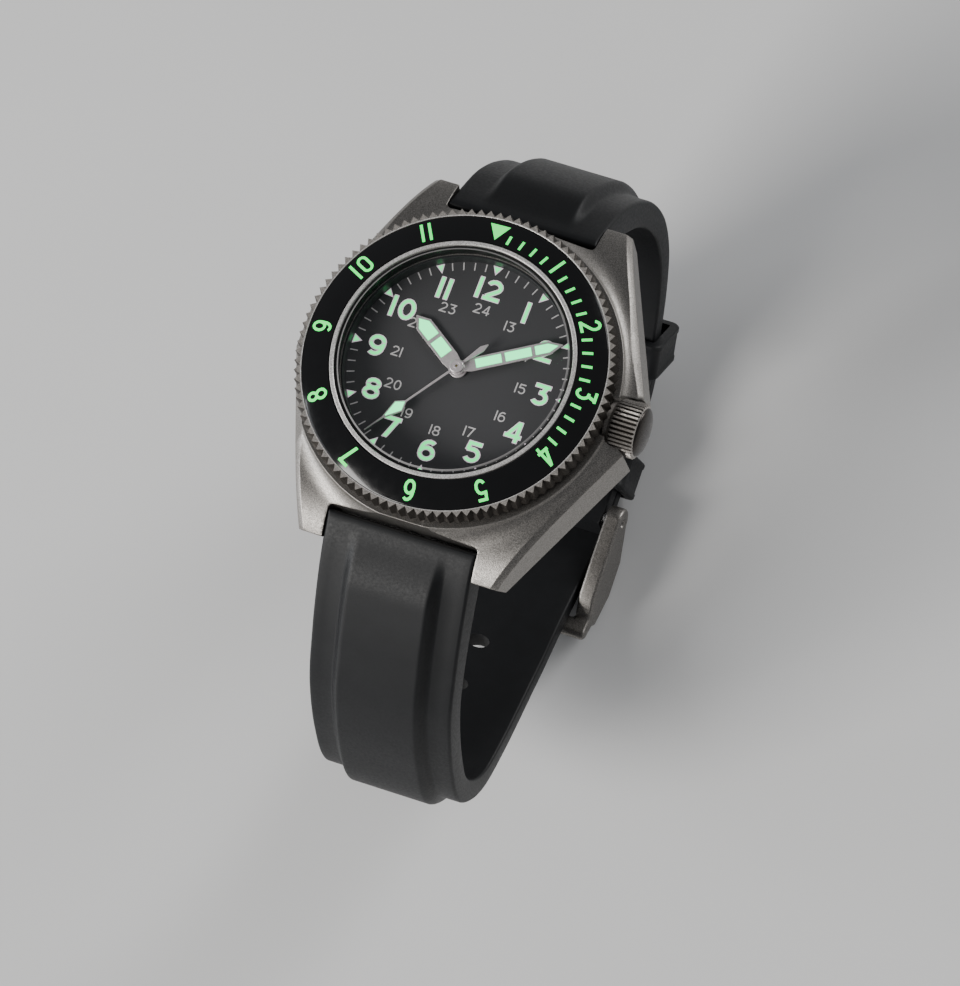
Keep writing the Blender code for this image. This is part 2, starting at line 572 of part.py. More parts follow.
def make_balance(at, brass, steel, blue):
    """Balance wheel with its hairspring, and the pallet fork between it and the escape wheel."""
    here = at["balance"]
    origin = (*here, 5.7)
    place = Matrix.Translation((*here, 0))
    balance = add("balance_wheel", moved(ring(BALANCE_R - 0.45, BALANCE_R, 5.7, 6.1, 24), place),
                  brass, origin)
    arms = [moved(box((-BALANCE_R + 0.2, -0.2, 5.8), (BALANCE_R - 0.2, 0.2, 6.0)),
                  Matrix.Rotation(math.radians(turn), 4, "Z"), place) for turn in (20, 110)]
    weld(balance, *[add("cut_balance_arm", arm) for arm in arms],
         arbor("balance_staff", 0.16, 5.22, 6.95, here),
         arbor("balance_roller", 0.55, 6.7, 6.85, here, 14))
    add("hairspring", spiral(0.4, 1.9, 4, 0.08, 5.3, 5.45, here, 10), blue, origin)

    escape = Vector(at["escape"])
    towards = (Vector(here) - escape).normalized()
    pivot = escape + towards * 2.45
    fork = [(-0.2, -0.25), (-0.35, -1.15), (-0.05, -1.15), (0.3, -0.35), (1.9, -0.12),
            (2.1, -0.3), (2.25, -0.3), (2.25, 0.3), (2.1, 0.3), (1.9, 0.12), (0.3, 0.35),
            (-0.05, 1.15), (-0.35, 1.15), (-0.2, 0.25)]
    turn = Matrix.Rotation(math.atan2(towards.y, towards.x), 4, "Z")
    lever = moved(prism(fork, 6.75, 6.88), turn, Matrix.Translation((*pivot, 0)))
    weld(add("pallet_fork", lever, steel, (*pivot, 6.75)),
         arbor("pallet_arbor", 0.12, 6.7, 6.95, pivot))
    cock = moved(box((-0.6, -2.9, 6.35), (0.6, 1.2, 6.62)), turn,
                 Matrix.Translation((*pivot, 0)))
    foot = moved(box((-0.6, -2.9, 6.5), (0.6, -1.75, 6.95)), turn,
                 Matrix.Translation((*pivot, 0)))
    weld(add("pallet_bridge", cock, steel), add("cut_pallet_foot", foot))


def make_plates(at, plate_metal):
    """Main plate, the bridges that close it, and the ring that holds it in the case."""
    plate = add("main_plate", disc(PLATE_R, PLATE_BOTTOM, PLATE_TOP), plate_metal)
    pocket = moved(disc(BARREL_R + 0.2, 6, 8.3, 40), Matrix.Translation((*at["barrel"], 0)))
    recess = moved(disc(2.0, 8.7, 10, COARSE), Matrix.Translation((*at["motion"], 0)))
    cut(plate, add("cut_barrel_pocket", pocket), add("cut_center_hole", disc(1.15, 6, 10, 20)),
        add("cut_motion_recess", recess), add("cut_hour_recess", disc(2.1, 8.72, 10.1, COARSE)),
        add("cut_stem_slot", box((8.0, -1.35, 6), (14, 1.35, 8.7))))

    reach = PLATE_R - 0.1
    foot_in = 11.95

    def bridge(name, inside, start, end, feet):
        outline = [*arc(reach, start, end, 16), *inside]
        made = add(name, prism(outline, BRIDGE_BOTTOM, BRIDGE_TOP), plate_metal)
        for low, high in feet:
            sector = [*arc(reach - 0.1, low, high, 8), *arc(foot_in, high, low, 8)]
            weld(made, add(f"cut_{name}_foot", prism(sector, BRIDGE_TOP - 0.3, 6.95)))
        return made

    barrel_bridge = bridge("barrel_bridge", [(-2.2, 2.8), (1.2, 1.75), (2.7, -0.8), (4.7, -4.4)],
                           -32, 118, [(-30, -16), (16, 34), (75, 110)])
    pinion_hole = moved(disc(0.95, 3, 6, 16), Matrix.Translation((*at["reduction"], 0)))
    cut(barrel_bridge, add("cut_reduction_hole", pinion_hole))
    bridge("train_bridge", [(4.4, -4.7), (2.4, -1.0), (1.0, 1.35), (-2.4, 2.4),
                            *arc(reach, 124, 165, 6), (-6.4, 0.5), (-5.0, -0.3), (-3.5, -1.1),
                            (-3.2, -4.4), (-2.6, -8.0)],
           -105, -38, [(-100, -45)])
    bridge("balance_cock", [(-6.4, -4.9), (-6.2, -2.8)], 192, 222, [(194, 220)])
    holder = add("movement_ring", ring(PLATE_R + 0.05, CAVITY_R - 0.1, 5.2, 9.7),
                 plate_metal)
    cut(holder, add("cut_holder_slot", box((12, -0.9, 6.4), (16, 0.9, 8.2))))


def make_rotor(at, tungsten, steel, brass):
    """The winding weight on its bearing, and the reduction wheel that it drives."""
    bearing = turned([(0, 2.3), (1.2, 2.3), (1.2, 3.95), (0, 3.95)], 20)
    add("rotor_bearing", bearing, steel)
    hub = gear(ROTOR_PINION, ROTOR_PINION_R, 1.9, 3.65, tip_to=at["reduction"])
    rotor = add("rotor", hub, tungsten)
    web = [(-2.2, 0), *arc(9.4, 180, 360, 22), (2.2, 0)]
    weight = [*arc(12.6, 180, 360, 26), *arc(9.2, 360, 180, 22)]
    weld(rotor, add("cut_rotor_web", prism(web, 1.9, 2.4)),
         add("cut_rotor_weight", prism(weight, 1.8, 3.1)))
    cut(rotor, add("cut_rotor_bore", disc(1.3, 1, 4, 20)))
    place = at["reduction"]
    wheel = gear(REDUCTION_TEETH, REDUCTION_R, 3.35, 3.65, place, gap_to=(0.0, 0.0))
    reduction = add("reduction_wheel", wheel, brass, (*place, 3.35))
    weld(reduction, arbor("reduction_arbor", 0.3, 3.4, 5.6, place),
         add("cut_reduction_pinion", gear(8, 0.55, 5.25, 5.6, place,
                                                   gap_to=at["barrel"])))


def make_screws(steel):
    """The bridge screws, with slotted heads that stand on the bridges."""
    for name, (radius, bearing) in {
        "barrel_bridge_screw_a": (11.0, -24), "barrel_bridge_screw_b": (11.6, 112),
        "train_bridge_screw": (9.5, -70), "balance_cock_screw": (12.2, 207),
    }.items():
        x, y = polar(radius, bearing)
        head = moved(disc(0.6, 3.6, BRIDGE_BOTTOM - GAP, 14), Matrix.Translation((x, y, 0)))
        slot = box((x - 1, y - 0.12, 3.4), (x + 1, y + 0.12, 3.75))
        cut(add(name, head, steel), add(f"cut_{name}_slot", slot))


# ---- strap, spring bars and buckle ----


def skin(line, direction, spacing=STRAP_SPACING):
    """The outer skin's points, how far along they are, and which way is out of the loop."""
    points, runs = spline(line, spacing)
    tangents = np.gradient(points, axis=0)
    tangents /= np.linalg.norm(tangents, axis=1)[:, None]
    return points, runs, np.stack([direction * tangents[:, 1], -direction * tangents[:, 0]], 1)


def above_short_strap(run, height):
    """A (y, z) point the given height outside the short strap's skin, and the skin's slope."""
    points, runs, normals = skin(STRAP_12_LINE, -1, 1.0)
    y, z, out_y, out_z = (np.interp(run, runs, column) for column in (*points.T, *normals.T))
    length = math.hypot(out_y, out_z)
    return y + out_y / length * height, z + out_z / length * height, math.atan2(out_y, -out_z)


def long_strap_line():
    """The long strap's skin: down to the buckle, then over the short strap."""
    tail = [above_short_strap(run, TAIL_THICK + 0.15)[:2]
            for run in np.linspace(*TAIL_RUNS, 6)]
    return [*STRAP_6_LINE, *tail]


def strap_body(line, thickness, direction, band_end):
    """Sweeps the strap's section along its outer skin. The middle band stands proud."""
    points, runs, normals = skin(line, direction)
    upright = 1 - smoothstep(runs, 0, 7)[:, None]
    normals = normals * (1 - upright) + np.array([0, 1]) * upright
    normals /= np.linalg.norm(normals, axis=1)[:, None]
    depths = np.interp(runs, *zip(*thickness))
    halves = np.interp(runs, (8, 72), (STRAP_HALF_WIDTH, STRAP_HALF_WIDTH_BUCKLE))
    fade = 1 - smoothstep(runs, band_end - BAND_FADE, band_end)
    rises = BAND_RISE * smoothstep(runs, *BAND_START) * fade + 0.02
    levels = []
    for point, normal, depth, half, rise in zip(points, normals, depths, halves, rises):
        outer = BAND_HALF_WIDTH + BAND_SHOULDER
        section = [(-half, -depth), (half, -depth), (half, -0.5), (half - 0.5, 0),
                   (outer, 0), (BAND_HALF_WIDTH, rise), (-BAND_HALF_WIDTH, rise),
                   (-outer, 0), (0.5 - half, 0), (-half, -0.5)]
        levels.append([(x, *(point + normal * up)) for x, up in section])
    return loft(levels)


def across_hole(name, y, z, radius, half_width=12.0):
    hole = turned([(0, -half_width), (radius, -half_width), (radius, half_width),
                   (0, half_width)], 14)
    return add(name, along_x(hole, y, z))


def make_straps(rubber):
    eye = SPRING_BAR_R + 0.1
    thick_6 = [(0, 6.3), (6, 4.4), (20, 3.6), (45, 3.2), (75, 2.5), (120, 2.4)]
    long = strap_body(long_strap_line(), thick_6, 1, BAND_END_6)
    strap_6 = add("strap_6_long", long, rubber, (0, -SPRING_BAR_Y, SPRING_BAR_Z))
    cut(strap_6, across_hole("cut_eye_6", -SPRING_BAR_Y, SPRING_BAR_Z, eye))
    slot = box((-1.6, -4.9, -53), (1.6, 2.2, -44))
    cut(strap_6, add("cut_tang_hole", slot))
    for y, z, slope in ((-19.5, -44, 20), (-26.2, -41.6, 22)):
        turn = Matrix.Translation((0, y, z)) @ Matrix.Rotation(-math.radians(slope), 4, "X")
        hole = [(1.5 * math.cos(a), 1.0 * math.sin(a)) for a in np.arange(14) * math.tau / 14]
        cut(strap_6, add("cut_strap_hole", moved(prism(hole, -6, 6), turn)))

    thick_12 = [(0, 6.3), (6, 4.4), (20, 3.6), (45, 3.0), (66, 2.6), (82, 2.8), (87, 3.4)]
    short = strap_body(STRAP_12_LINE, thick_12, -1, BAND_END_12)
    strap_12 = add("strap_12_short", short, rubber, (0, SPRING_BAR_Y, SPRING_BAR_Z))
    cut(strap_12, across_hole("cut_eye_12", SPRING_BAR_Y, SPRING_BAR_Z, eye),
        across_hole("cut_eye_buckle", *BUCKLE_BAR, eye),
        add("cut_tang_notch", box((-1.6, -2, -52), (1.6, 4.9, -42))))


def make_spring_bars(steel):
    for name, (y, z), body, tip in (
        ("spring_bar_12", (SPRING_BAR_Y, SPRING_BAR_Z), 9.7, 11.1),
        ("spring_bar_6", (-SPRING_BAR_Y, SPRING_BAR_Z), 9.7, 11.1),
        ("buckle_bar", BUCKLE_BAR, 9.3, 11.3),
    ):
        bar = turned([(0, -tip), (SPRING_TIP_R, -tip), (SPRING_TIP_R, -body),
                      (SPRING_BAR_R, -body), (SPRING_BAR_R, body), (SPRING_TIP_R, body),
                      (SPRING_TIP_R, tip), (0, tip)], 14)
        add(name, along_x(bar, y, z), steel, (0, y, z))


def make_buckle(steel):
    """A curved ring with two side arms and a front bar, and the tang that rests on the bar."""
    y, z = BUCKLE_BAR
    boss = arc(2.0, -75, 95, 9, (y, z))
    frame_side = [*boss, (-4.0, -45.1), (-8.6, -46.0), (-10.9, -48.0), (-13.1, -47.5),
                  (-13.9, -48.1), (-13.3, -49.1), (-11.2, -50.0), (-10.8, -51.2), (-6.0, -52.9),
                  (-1.2, -52.1)]
    frame = add("buckle_frame", side_prism(frame_side, BUCKLE_HALF_OUT), steel, (0, y, z))
    cut(frame, add("cut_buckle_opening", box((-BUCKLE_HALF_IN, -11.1, -56),
                                             (BUCKLE_HALF_IN, 8, -40))),
        across_hole("cut_buckle_bar_hole", y, z, SPRING_TIP_R + 0.1))
    bevel = frame.modifiers.new("soft edges", "BEVEL")
    bevel.width, bevel.segments, bevel.limit_method = 0.35 * MM, 1, "ANGLE"
    bevel.angle_limit = math.radians(60)

    ring_r = SPRING_BAR_R + 0.75
    tang_side = [*arc(ring_r, -120, 170, 12, (y, z)), (0.2, -47.4), (-1.4, -49.0),
                 (-3.4, -50.2), (-8.0, -50.5), (-11.2, -50.3), (-13.6, -49.35), (-14.2, -49.7),
                 (-13.7, -50.5), (-11.0, -51.4), (-8.0, -51.7), (-3.6, -51.6), (-0.9, -50.2)]
    tang = add("buckle_tang", side_prism(tang_side, 1.2), steel, (0, y, z))
    cut(tang, across_hole("cut_tang_bore", y, z, SPRING_BAR_R + 0.06))


def make_keepers(rubber):
    """Two loops round both straps. Inner height: both straps and a little play."""
    half_in, up, down = STRAP_HALF_WIDTH_BUCKLE + 0.35, 3.2, TAIL_THICK + 0.55
    half_out = half_in + KEEPER_WALL
    for name, run in (("keeper_fixed", FIXED_KEEPER_RUN), ("keeper_free", FREE_KEEPER_RUN)):
        y, z, slope = above_short_strap(run, 0)
        place = Matrix.Translation((0, y, z)) @ Matrix.Rotation(slope, 4, "X")
        wall = KEEPER_WALL
        outer = [(-half_out + 0.8, -down - wall), (half_out - 0.8, -down - wall),
                 (half_out, -down - wall + 0.8), (half_out, up + wall - 0.8),
                 (half_out - 0.8, up + wall), (-half_out + 0.8, up + wall),
                 (-half_out, up + wall - 0.8), (-half_out, -down - wall + 0.8)]
        stand = Matrix.Rotation(math.pi / 2, 4, "X")
        body = moved(prism(outer, -KEEPER_LENGTH / 2, KEEPER_LENGTH / 2), stand, place)
        keeper = add(name, body, rubber, (0, y, z))
        hole = moved(box((-half_in, -5, -down), (half_in, 5, up)), place)
        cut(keeper, add(f"cut_{name}", hole))


def main():
    clear_scene()
    steel = material("case_metal", (0.47, 0.45, 0.42), 0.42, 1.0)
    polished = material("hand_metal", (0.75, 0.73, 0.70), 0.25, 1.0)
    ceramic = material("bezel_black", (0.012, 0.012, 0.013), 0.12, 0.0)
    dark = material("dial_anthracite", (0.045, 0.045, 0.047), 0.6, 0.0)
    glass = material("sapphire", (0.95, 0.97, 0.98), 0.02, 0.0)
    rubber = material("strap_rubber", (0.028, 0.029, 0.031), 0.55, 0.0)
    black = material("gasket_rubber", (0.02, 0.02, 0.02), 0.7, 0.0)
    brass = material("wheel_brass", (0.80, 0.62, 0.30), 0.3, 1.0)
    plate_metal = material("rhodium_plate", (0.62, 0.62, 0.63), 0.35, 1.0)
    work_steel = material("movement_steel", (0.66, 0.66, 0.68), 0.25, 1.0)
    blue = material("hairspring_blue", (0.10, 0.16, 0.45), 0.3, 1.0)
    tungsten = material("rotor_metal", (0.42, 0.42, 0.44), 0.35, 1.0)

    make_case(steel)
    make_back(steel, black)
    make_bezel(steel, ceramic, work_steel)
    make_crystal(steel, glass, black, dark)
    make_crown(steel, black)
    make_stem(work_steel)
    make_hands(polished)
    at = centres()
    make_train(at, brass, work_steel)
    make_barrel(at, brass, work_steel)
    make_motion_works(at, brass, work_steel)
    make_balance(at, brass, work_steel, blue)
    make_plates(at, plate_metal)
    make_rotor(at, tungsten, work_steel, brass)
    make_screws(work_steel)
    make_straps(rubber)
    make_spring_bars(work_steel)
    make_buckle(steel)
    make_keepers(rubber)


main()
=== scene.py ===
"""The looks of the dive watch: fine surfaces, printed dial, luminous marks and rubber grain.

Lengths are in millimetres in the row frame (+Z out of the dial, +Y to 12 o'clock, +X to the
crown), and make_object() turns them into metres.
"""

import json
import math

import bmesh
import bpy
import numpy as np
from mathutils import Matrix, Vector


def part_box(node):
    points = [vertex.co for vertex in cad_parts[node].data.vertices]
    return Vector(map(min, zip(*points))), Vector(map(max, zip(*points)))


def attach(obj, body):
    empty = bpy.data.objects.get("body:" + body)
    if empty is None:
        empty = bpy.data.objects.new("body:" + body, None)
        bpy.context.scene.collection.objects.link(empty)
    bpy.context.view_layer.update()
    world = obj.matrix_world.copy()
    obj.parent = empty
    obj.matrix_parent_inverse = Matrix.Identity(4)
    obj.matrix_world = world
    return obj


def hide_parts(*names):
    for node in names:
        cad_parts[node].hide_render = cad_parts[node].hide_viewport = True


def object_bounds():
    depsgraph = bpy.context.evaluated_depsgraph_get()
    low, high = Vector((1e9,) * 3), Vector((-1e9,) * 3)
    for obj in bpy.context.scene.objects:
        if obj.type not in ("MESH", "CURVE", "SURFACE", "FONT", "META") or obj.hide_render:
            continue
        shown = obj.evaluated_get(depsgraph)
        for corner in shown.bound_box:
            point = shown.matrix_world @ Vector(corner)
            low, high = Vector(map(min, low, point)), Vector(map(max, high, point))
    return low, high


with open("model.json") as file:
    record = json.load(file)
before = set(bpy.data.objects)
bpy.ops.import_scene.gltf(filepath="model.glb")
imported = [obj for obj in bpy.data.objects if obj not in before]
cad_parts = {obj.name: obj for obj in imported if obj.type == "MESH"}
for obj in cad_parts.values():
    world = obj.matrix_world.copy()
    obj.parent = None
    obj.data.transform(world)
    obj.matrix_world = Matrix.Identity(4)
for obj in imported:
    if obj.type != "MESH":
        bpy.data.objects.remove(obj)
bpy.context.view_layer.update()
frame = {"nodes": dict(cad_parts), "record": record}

MM = 0.001
TAU = math.tau


def node_box(name):
    """A CAD node's corners in millimetres."""
    return [np.array(corner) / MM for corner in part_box(name)]


# ---- sizes ----

DIAL_LOW, DIAL_HIGH = node_box("dial")
CROWN_LOW, CROWN_HIGH = node_box("crown")
DIAL_TOP = DIAL_HIGH[2]
STEM_Z = (CROWN_LOW[2] + CROWN_HIGH[2]) / 2
CROWN_R = (CROWN_HIGH[2] - CROWN_LOW[2]) / 2
SPRING_BAR_Y, SPRING_BAR_Z = 22.3, 3.9
PIN_Y, PIN_Z = 2.2, -46.3  # the bar that the buckle and its tang are on
EYE_R = 0.85  # the holes through the strap for the bars

INSERT_IN_R, INSERT_OUT_R = 15.6, 19.2
INSERT_IN_Z, INSERT_OUT_Z = 14.2, 13.05
BEZEL_TURN = 2.26  # degrees that the bezel stands from 12 o'clock at rest


# ---- materials ----

FADE_FROM, FADE_TO = 0.3, 0.7  # the stretch of a noise or gradient that varies a look
LOOKS = {}  # every material by its name


class Shader:
    """Builds a node material on a Principled shader."""

    def __init__(self, name, colour, roughness, metallic=0.0, **sockets):
        self.made = LOOKS[name] = bpy.data.materials.new(name)
        self.made.use_nodes = True
        self.tree = self.made.node_tree
        self.bsdf = self.tree.nodes["Principled BSDF"]
        self.set("Base Color", (*colour, 1))
        self.set("Roughness", roughness)
        self.set("Metallic", metallic)
        for socket, value in sockets.items():
            self.set(socket.replace("_", " "), value)
        self.made.diffuse_color = (*colour, 1)
        self.colour, self.roughness = colour, roughness

    def set(self, socket, value):
        self.bsdf.inputs[socket].default_value = value

    def node(self, kind, **values):
        made = self.tree.nodes.new(kind)
        for name, value in values.items():
            if name in made.inputs:
                made.inputs[name].default_value = value
            else:
                setattr(made, name, value)
        return made

    def link(self, start, end):
        self.tree.links.new(start, end)

    def noise(self, scale, detail=2.0, stretch=None):
        """Noise in the object's own space. The scale is in features for each millimetre."""
        where = self.node("ShaderNodeTexCoord").outputs["Object"]
        if stretch:
            mapping = self.node("ShaderNodeMapping", Scale=stretch)
            self.link(where, mapping.inputs["Vector"])
            where = mapping.outputs["Vector"]
        made = self.node("ShaderNodeTexNoise", Scale=scale / MM, Detail=detail)
        self.link(where, made.inputs["Vector"])
        return made.outputs["Fac"]

    def vary_colour(self, factor, low, high):
        """Multiplies the colour by low to high as the factor rises."""
        ramp = self.node("ShaderNodeValToRGB")
        ramp.color_ramp.elements[0].position = FADE_FROM
        ramp.color_ramp.elements[1].position = FADE_TO
        for element, gain in zip(ramp.color_ramp.elements, (low, high)):
            element.color = (*[min(1.0, c * gain) for c in self.colour], 1)
        self.link(factor, ramp.inputs["Fac"])
        self.link(ramp.outputs["Color"], self.bsdf.inputs["Base Color"])

    def vary_roughness(self, factor, below, above):
        """Spreads the roughness below and above its own value."""
        spread = self.node("ShaderNodeMapRange", **{
            "From Min": FADE_FROM, "From Max": FADE_TO,
            "To Min": self.roughness - below, "To Max": self.roughness + above})
        self.link(factor, spread.inputs["Value"])
        self.link(spread.outputs["Result"], self.bsdf.inputs["Roughness"])

    def bump(self, factor, depth, strength=1.0):
        """Relief of the given depth in millimetres."""
        relief = self.node("ShaderNodeBump", Strength=strength, Distance=depth * MM)
        self.link(factor, relief.inputs["Height"])
        self.link(relief.outputs["Normal"], self.bsdf.inputs["Normal"])


def blasted_metal(name, colour, roughness, metallic=1.0):
    """Bead-blasted metal: a fine even grain with faint clouds."""
    look = Shader(name, colour, roughness, metallic)
    grain = look.noise(8.0, 1.0)
    look.vary_colour(grain, 0.62, 1.38)
    look.vary_roughness(look.noise(2.5, 3.0), 0.05, 0.06)
    look.bump(grain, 0.02, 0.8)
    return look.made


def brushed_metal(name, colour, roughness, stretch=(1, 1, 1), depth=0.004, metallic=1.0):
    look = Shader(name, colour, roughness, metallic)
    streaks = look.noise(4.0, 4.0, stretch)
    look.vary_colour(streaks, 0.93, 1.07)
    look.vary_roughness(streaks, 0.06, 0.08)
    look.bump(streaks, depth, 0.5)
    return look.made


def moulded_rubber(name, colour, roughness):
    look = Shader(name, colour, roughness, 0.0, Specular_IOR_Level=0.28)
    look.vary_colour(look.noise(0.5, 4.0), 0.9, 1.12)
    look.vary_roughness(look.noise(3.0, 3.0), 0.05, 0.07)
    look.bump(look.noise(8.0, 2.0), 0.014, 0.35)
    return look.made


def glaze(name, colour, roughness):
    look = Shader(name, colour, roughness, 0.0, Specular_IOR_Level=0.3, Coat_Weight=0.25,
                  Coat_Roughness=0.03)
    look.vary_colour(look.noise(0.4, 3.0), 0.9, 1.1)
    look.vary_roughness(look.noise(1.2, 4.0), 0.02, 0.03)
    return look.made


def paint(name, colour, roughness, glow):
    look = Shader(name, colour, roughness, 0.0, Emission_Color=(*colour, 1),
                  Emission_Strength=glow)
    look.vary_colour(look.noise(6.0, 3.0), 0.93, 1.04)
    look.bump(look.noise(12.0, 2.0), 0.006, 0.5)
    return look.made


def smoked_dial(name, colour, roughness):
    """Dial paint with painted light and shade: lighter towards the middle, darker towards the rim.
    """
    look = Shader(name, colour, roughness)
    where = look.node("ShaderNodeTexCoord").outputs["Object"]
    fade_r = 15.0  # where the gradient ends
    scale = 1 / (fade_r * MM)
    mapping = look.node("ShaderNodeMapping", Scale=(scale, scale, scale))
    gradient = look.node("ShaderNodeTexGradient", gradient_type="SPHERICAL")
    look.link(where, mapping.inputs["Vector"])
    look.link(mapping.outputs["Vector"], gradient.inputs["Vector"])
    look.vary_colour(gradient.outputs["Fac"], 0.8, 1.7)
    look.vary_roughness(look.noise(8.0, 2.0), 0.05, 0.05)
    look.bump(look.noise(9.0, 2.0), 0.01, 0.5)
    return look.made


def clear_glass(name, cover, colour=(0.02, 0.022, 0.025), roughness=0.03):
    look = Shader(name, colour, roughness, 0.0, Alpha=cover, IOR=1.7)
    look.vary_roughness(look.noise(0.2, 2.0), 0.01, 0.02)
    return look.made


CASE_METAL = blasted_metal("case_metal", (0.25, 0.237, 0.222), 0.42)
# Painted light: the bezel and crown steel is a lighter copy of the case steel, so the tooth tops
# and rib crests look lit.
PAINTED_LIGHT_BEZEL_METAL = blasted_metal("bezel_metal_painted_light", (0.37, 0.345, 0.32), 0.42, metallic=0.6)
# Painted shade: a dark copy of the steel for the bezel's grooves and the crown's rib valleys.
PAINTED_SHADE_METAL = blasted_metal("painted_shade_metal", (0.07, 0.063, 0.056), 0.5)
# Painted reflection: the polished crown end is steel painted near black, for the dark surroundings
# it mirrors.
CAP_PAINTED_REFLECTION_METAL = brushed_metal("crown_cap_painted_reflection", (0.05, 0.045, 0.042), 0.30, depth=0.002)
# The crystal ring's own light steel; on the bezel's thin inner ring it is a painted highlight.
RIM_METAL_AND_HIGHLIGHT = blasted_metal("rim_metal", (0.75, 0.71, 0.69), 0.42, metallic=0.6)
HAND_METAL = brushed_metal("hand_metal", (0.80, 0.74, 0.75), 0.42, depth=0.001, metallic=0.6)
INSERT_BLACK = glaze("bezel_black", (0.004, 0.004, 0.0045), 0.12)
DIAL_GREY = smoked_dial("dial_anthracite", (0.080, 0.080, 0.084), 0.55)
WALL_GREY = moulded_rubber("chapter_grey", (0.030, 0.031, 0.033), 0.45)
LUME = paint("lume_green", (0.04, 0.82, 0.13), 0.6, glow=1.4)
LUME_BRIGHT = paint("lume_mint", (0.05, 0.92, 0.24), 0.6, glow=1.7)
LUME_HANDS = paint("lume_hands", (0.10, 1.0, 0.36), 0.6, glow=2.4)
# Painted light: the white border and print glow a little, though they are not lume.
BORDER = paint("border_white", (0.90, 0.76, 0.86), 0.5, glow=0.45)
PRINT = paint("print_white", (0.70, 0.68, 0.68), 0.5, glow=0.05)
RUBBER = moulded_rubber("strap_rubber", (0.007, 0.0075, 0.0085), 0.50)
moulded_rubber("gasket_rubber", (0.01, 0.01, 0.01), 0.6)
GLASS = clear_glass("sapphire", cover=0.05)
# Painted highlight: a pale half-opaque copy of the glass on the crystal's rounded edge, for the
# light line it shows.
GLASS_EDGE_HIGHLIGHT = clear_glass("sapphire_edge_highlight", 0.55, (0.34, 0.33, 0.33), 0.5)
brushed_metal("rhodium_plate", (0.62, 0.62, 0.63), 0.32, (1, 0.05, 1))
brushed_metal("wheel_brass", (0.80, 0.62, 0.30), 0.28, (1, 0.1, 1))
brushed_metal("movement_steel", (0.66, 0.66, 0.68), 0.24, (1, 1, 0.1))
brushed_metal("rotor_metal", (0.42, 0.42, 0.44), 0.34, (0.08, 1, 1), depth=0.01)
brushed_metal("hairspring_blue", (0.10, 0.16, 0.45), 0.28)

# a CAD node takes the material that has its slot's name
for part in frame["record"]["subparts"]:
    mesh = frame["nodes"][part["node"]].data
    mesh.materials.clear()
    mesh.materials.append(LOOKS[part["material_slot"]])


# ---- mesh helpers ----

SHARP, SOFT_SHARP = 35.0, 50.0  # degrees at which an edge stays crisp, and a rounded one


def add_object(name, data):
    obj = bpy.data.objects.new(name, data)
    bpy.context.collection.objects.link(obj)
    return obj


def shade(mesh, sharp):
    mesh.shade_smooth()
    mesh.set_sharp_from_angle(angle=math.radians(sharp))


def make_object(name, made, look=None, sharp=SHARP):
    """An object from a bmesh in millimetres. A cutting tool has no look."""
    bmesh.ops.recalc_face_normals(made, faces=made.faces)
    bmesh.ops.transform(made, matrix=Matrix.Scale(MM, 4), verts=made.verts)
    mesh = bpy.data.meshes.new(name)
    made.to_mesh(mesh)
    made.free()
    shade(mesh, sharp)
    if look:
        mesh.materials.append(look)
    return add_object(name, mesh)


def apply_modifiers(obj):
    """Replaces the mesh with what its modifiers make of it."""
    bpy.context.view_layer.update()
    graph = bpy.context.evaluated_depsgraph_get()
    mesh = bpy.data.meshes.new_from_object(obj.evaluated_get(graph))
    obj.modifiers.clear()
    obj.data = mesh


def boolean(obj, operation, *tools):
    """Joins the tools to an object or cuts them out of it, and removes them."""
    for tool in tools:
        modifier = obj.modifiers.new(operation.lower(), "BOOLEAN")
        modifier.operation, modifier.object = operation, tool
    apply_modifiers(obj)
    shade(obj.data, SHARP)
    for tool in tools:
        bpy.data.objects.remove(tool)


def soften(obj, width, segments=2, angle=30.0):
    """Rounds the sharp edges by the width, in millimetres, and keeps large faces flat."""
    made = bmesh.new()
    made.from_mesh(obj.data)
    bmesh.ops.remove_doubles(made, verts=made.verts, dist=0.02 * MM)
    made.to_mesh(obj.data)
    made.free()
    bevel = obj.modifiers.new("edge", "BEVEL")
    bevel.width, bevel.segments = width * MM, segments
    bevel.limit_method, bevel.angle_limit = "ANGLE", math.radians(angle)
    bevel.use_clamp_overlap = False
    apply_modifiers(obj)
    shade(obj.data, SOFT_SHARP)
    obj.modifiers.new("flat", "WEIGHTED_NORMAL").keep_sharp = True
    apply_modifiers(obj)


def piece(obj, body, slot, *nodes):
    """Puts a finished piece on its body, in place of the CAD nodes named."""
    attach(obj, body)
    if nodes:
        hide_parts(*nodes)


def polar(r, angle):
    return r * math.cos(angle), r * math.sin(angle)


def unit(rows):
    return rows / np.linalg.norm(rows, axis=1)[:, None]


def turned(profile, steps=192):
    """A closed (radius, z) profile turned round Z."""
    made = bmesh.new()
    rings = []
    for r, z in profile:
        if r < 1e-6:
            rings.append([made.verts.new((0, 0, z))] * steps)
            continue
        rings.append([made.verts.new((*polar(r, a), z)) for a in np.arange(steps) * TAU / steps])
    for low, high in zip(rings, rings[1:] + rings[:1]):
        for k in range(steps):
            corners = [low[k], low[(k + 1) % steps], high[(k + 1) % steps], high[k]]
            corners = list(dict.fromkeys(corners))
            if len(corners) > 2:
                made.faces.new(corners)
    return made


def loft(levels, closed_ends=True):
    """Joins rings of points with the same count."""
    made = bmesh.new()
    rings = [[made.verts.new(p) for p in level] for level in levels]
    for low, high in zip(rings, rings[1:]):
        for a, b, c, d in zip(low, low[1:] + low[:1], high[1:] + high[:1], high):
            made.faces.new((a, b, c, d))
    if closed_ends:
        made.faces.new(rings[0][::-1])
        made.faces.new(rings[-1])
    return made


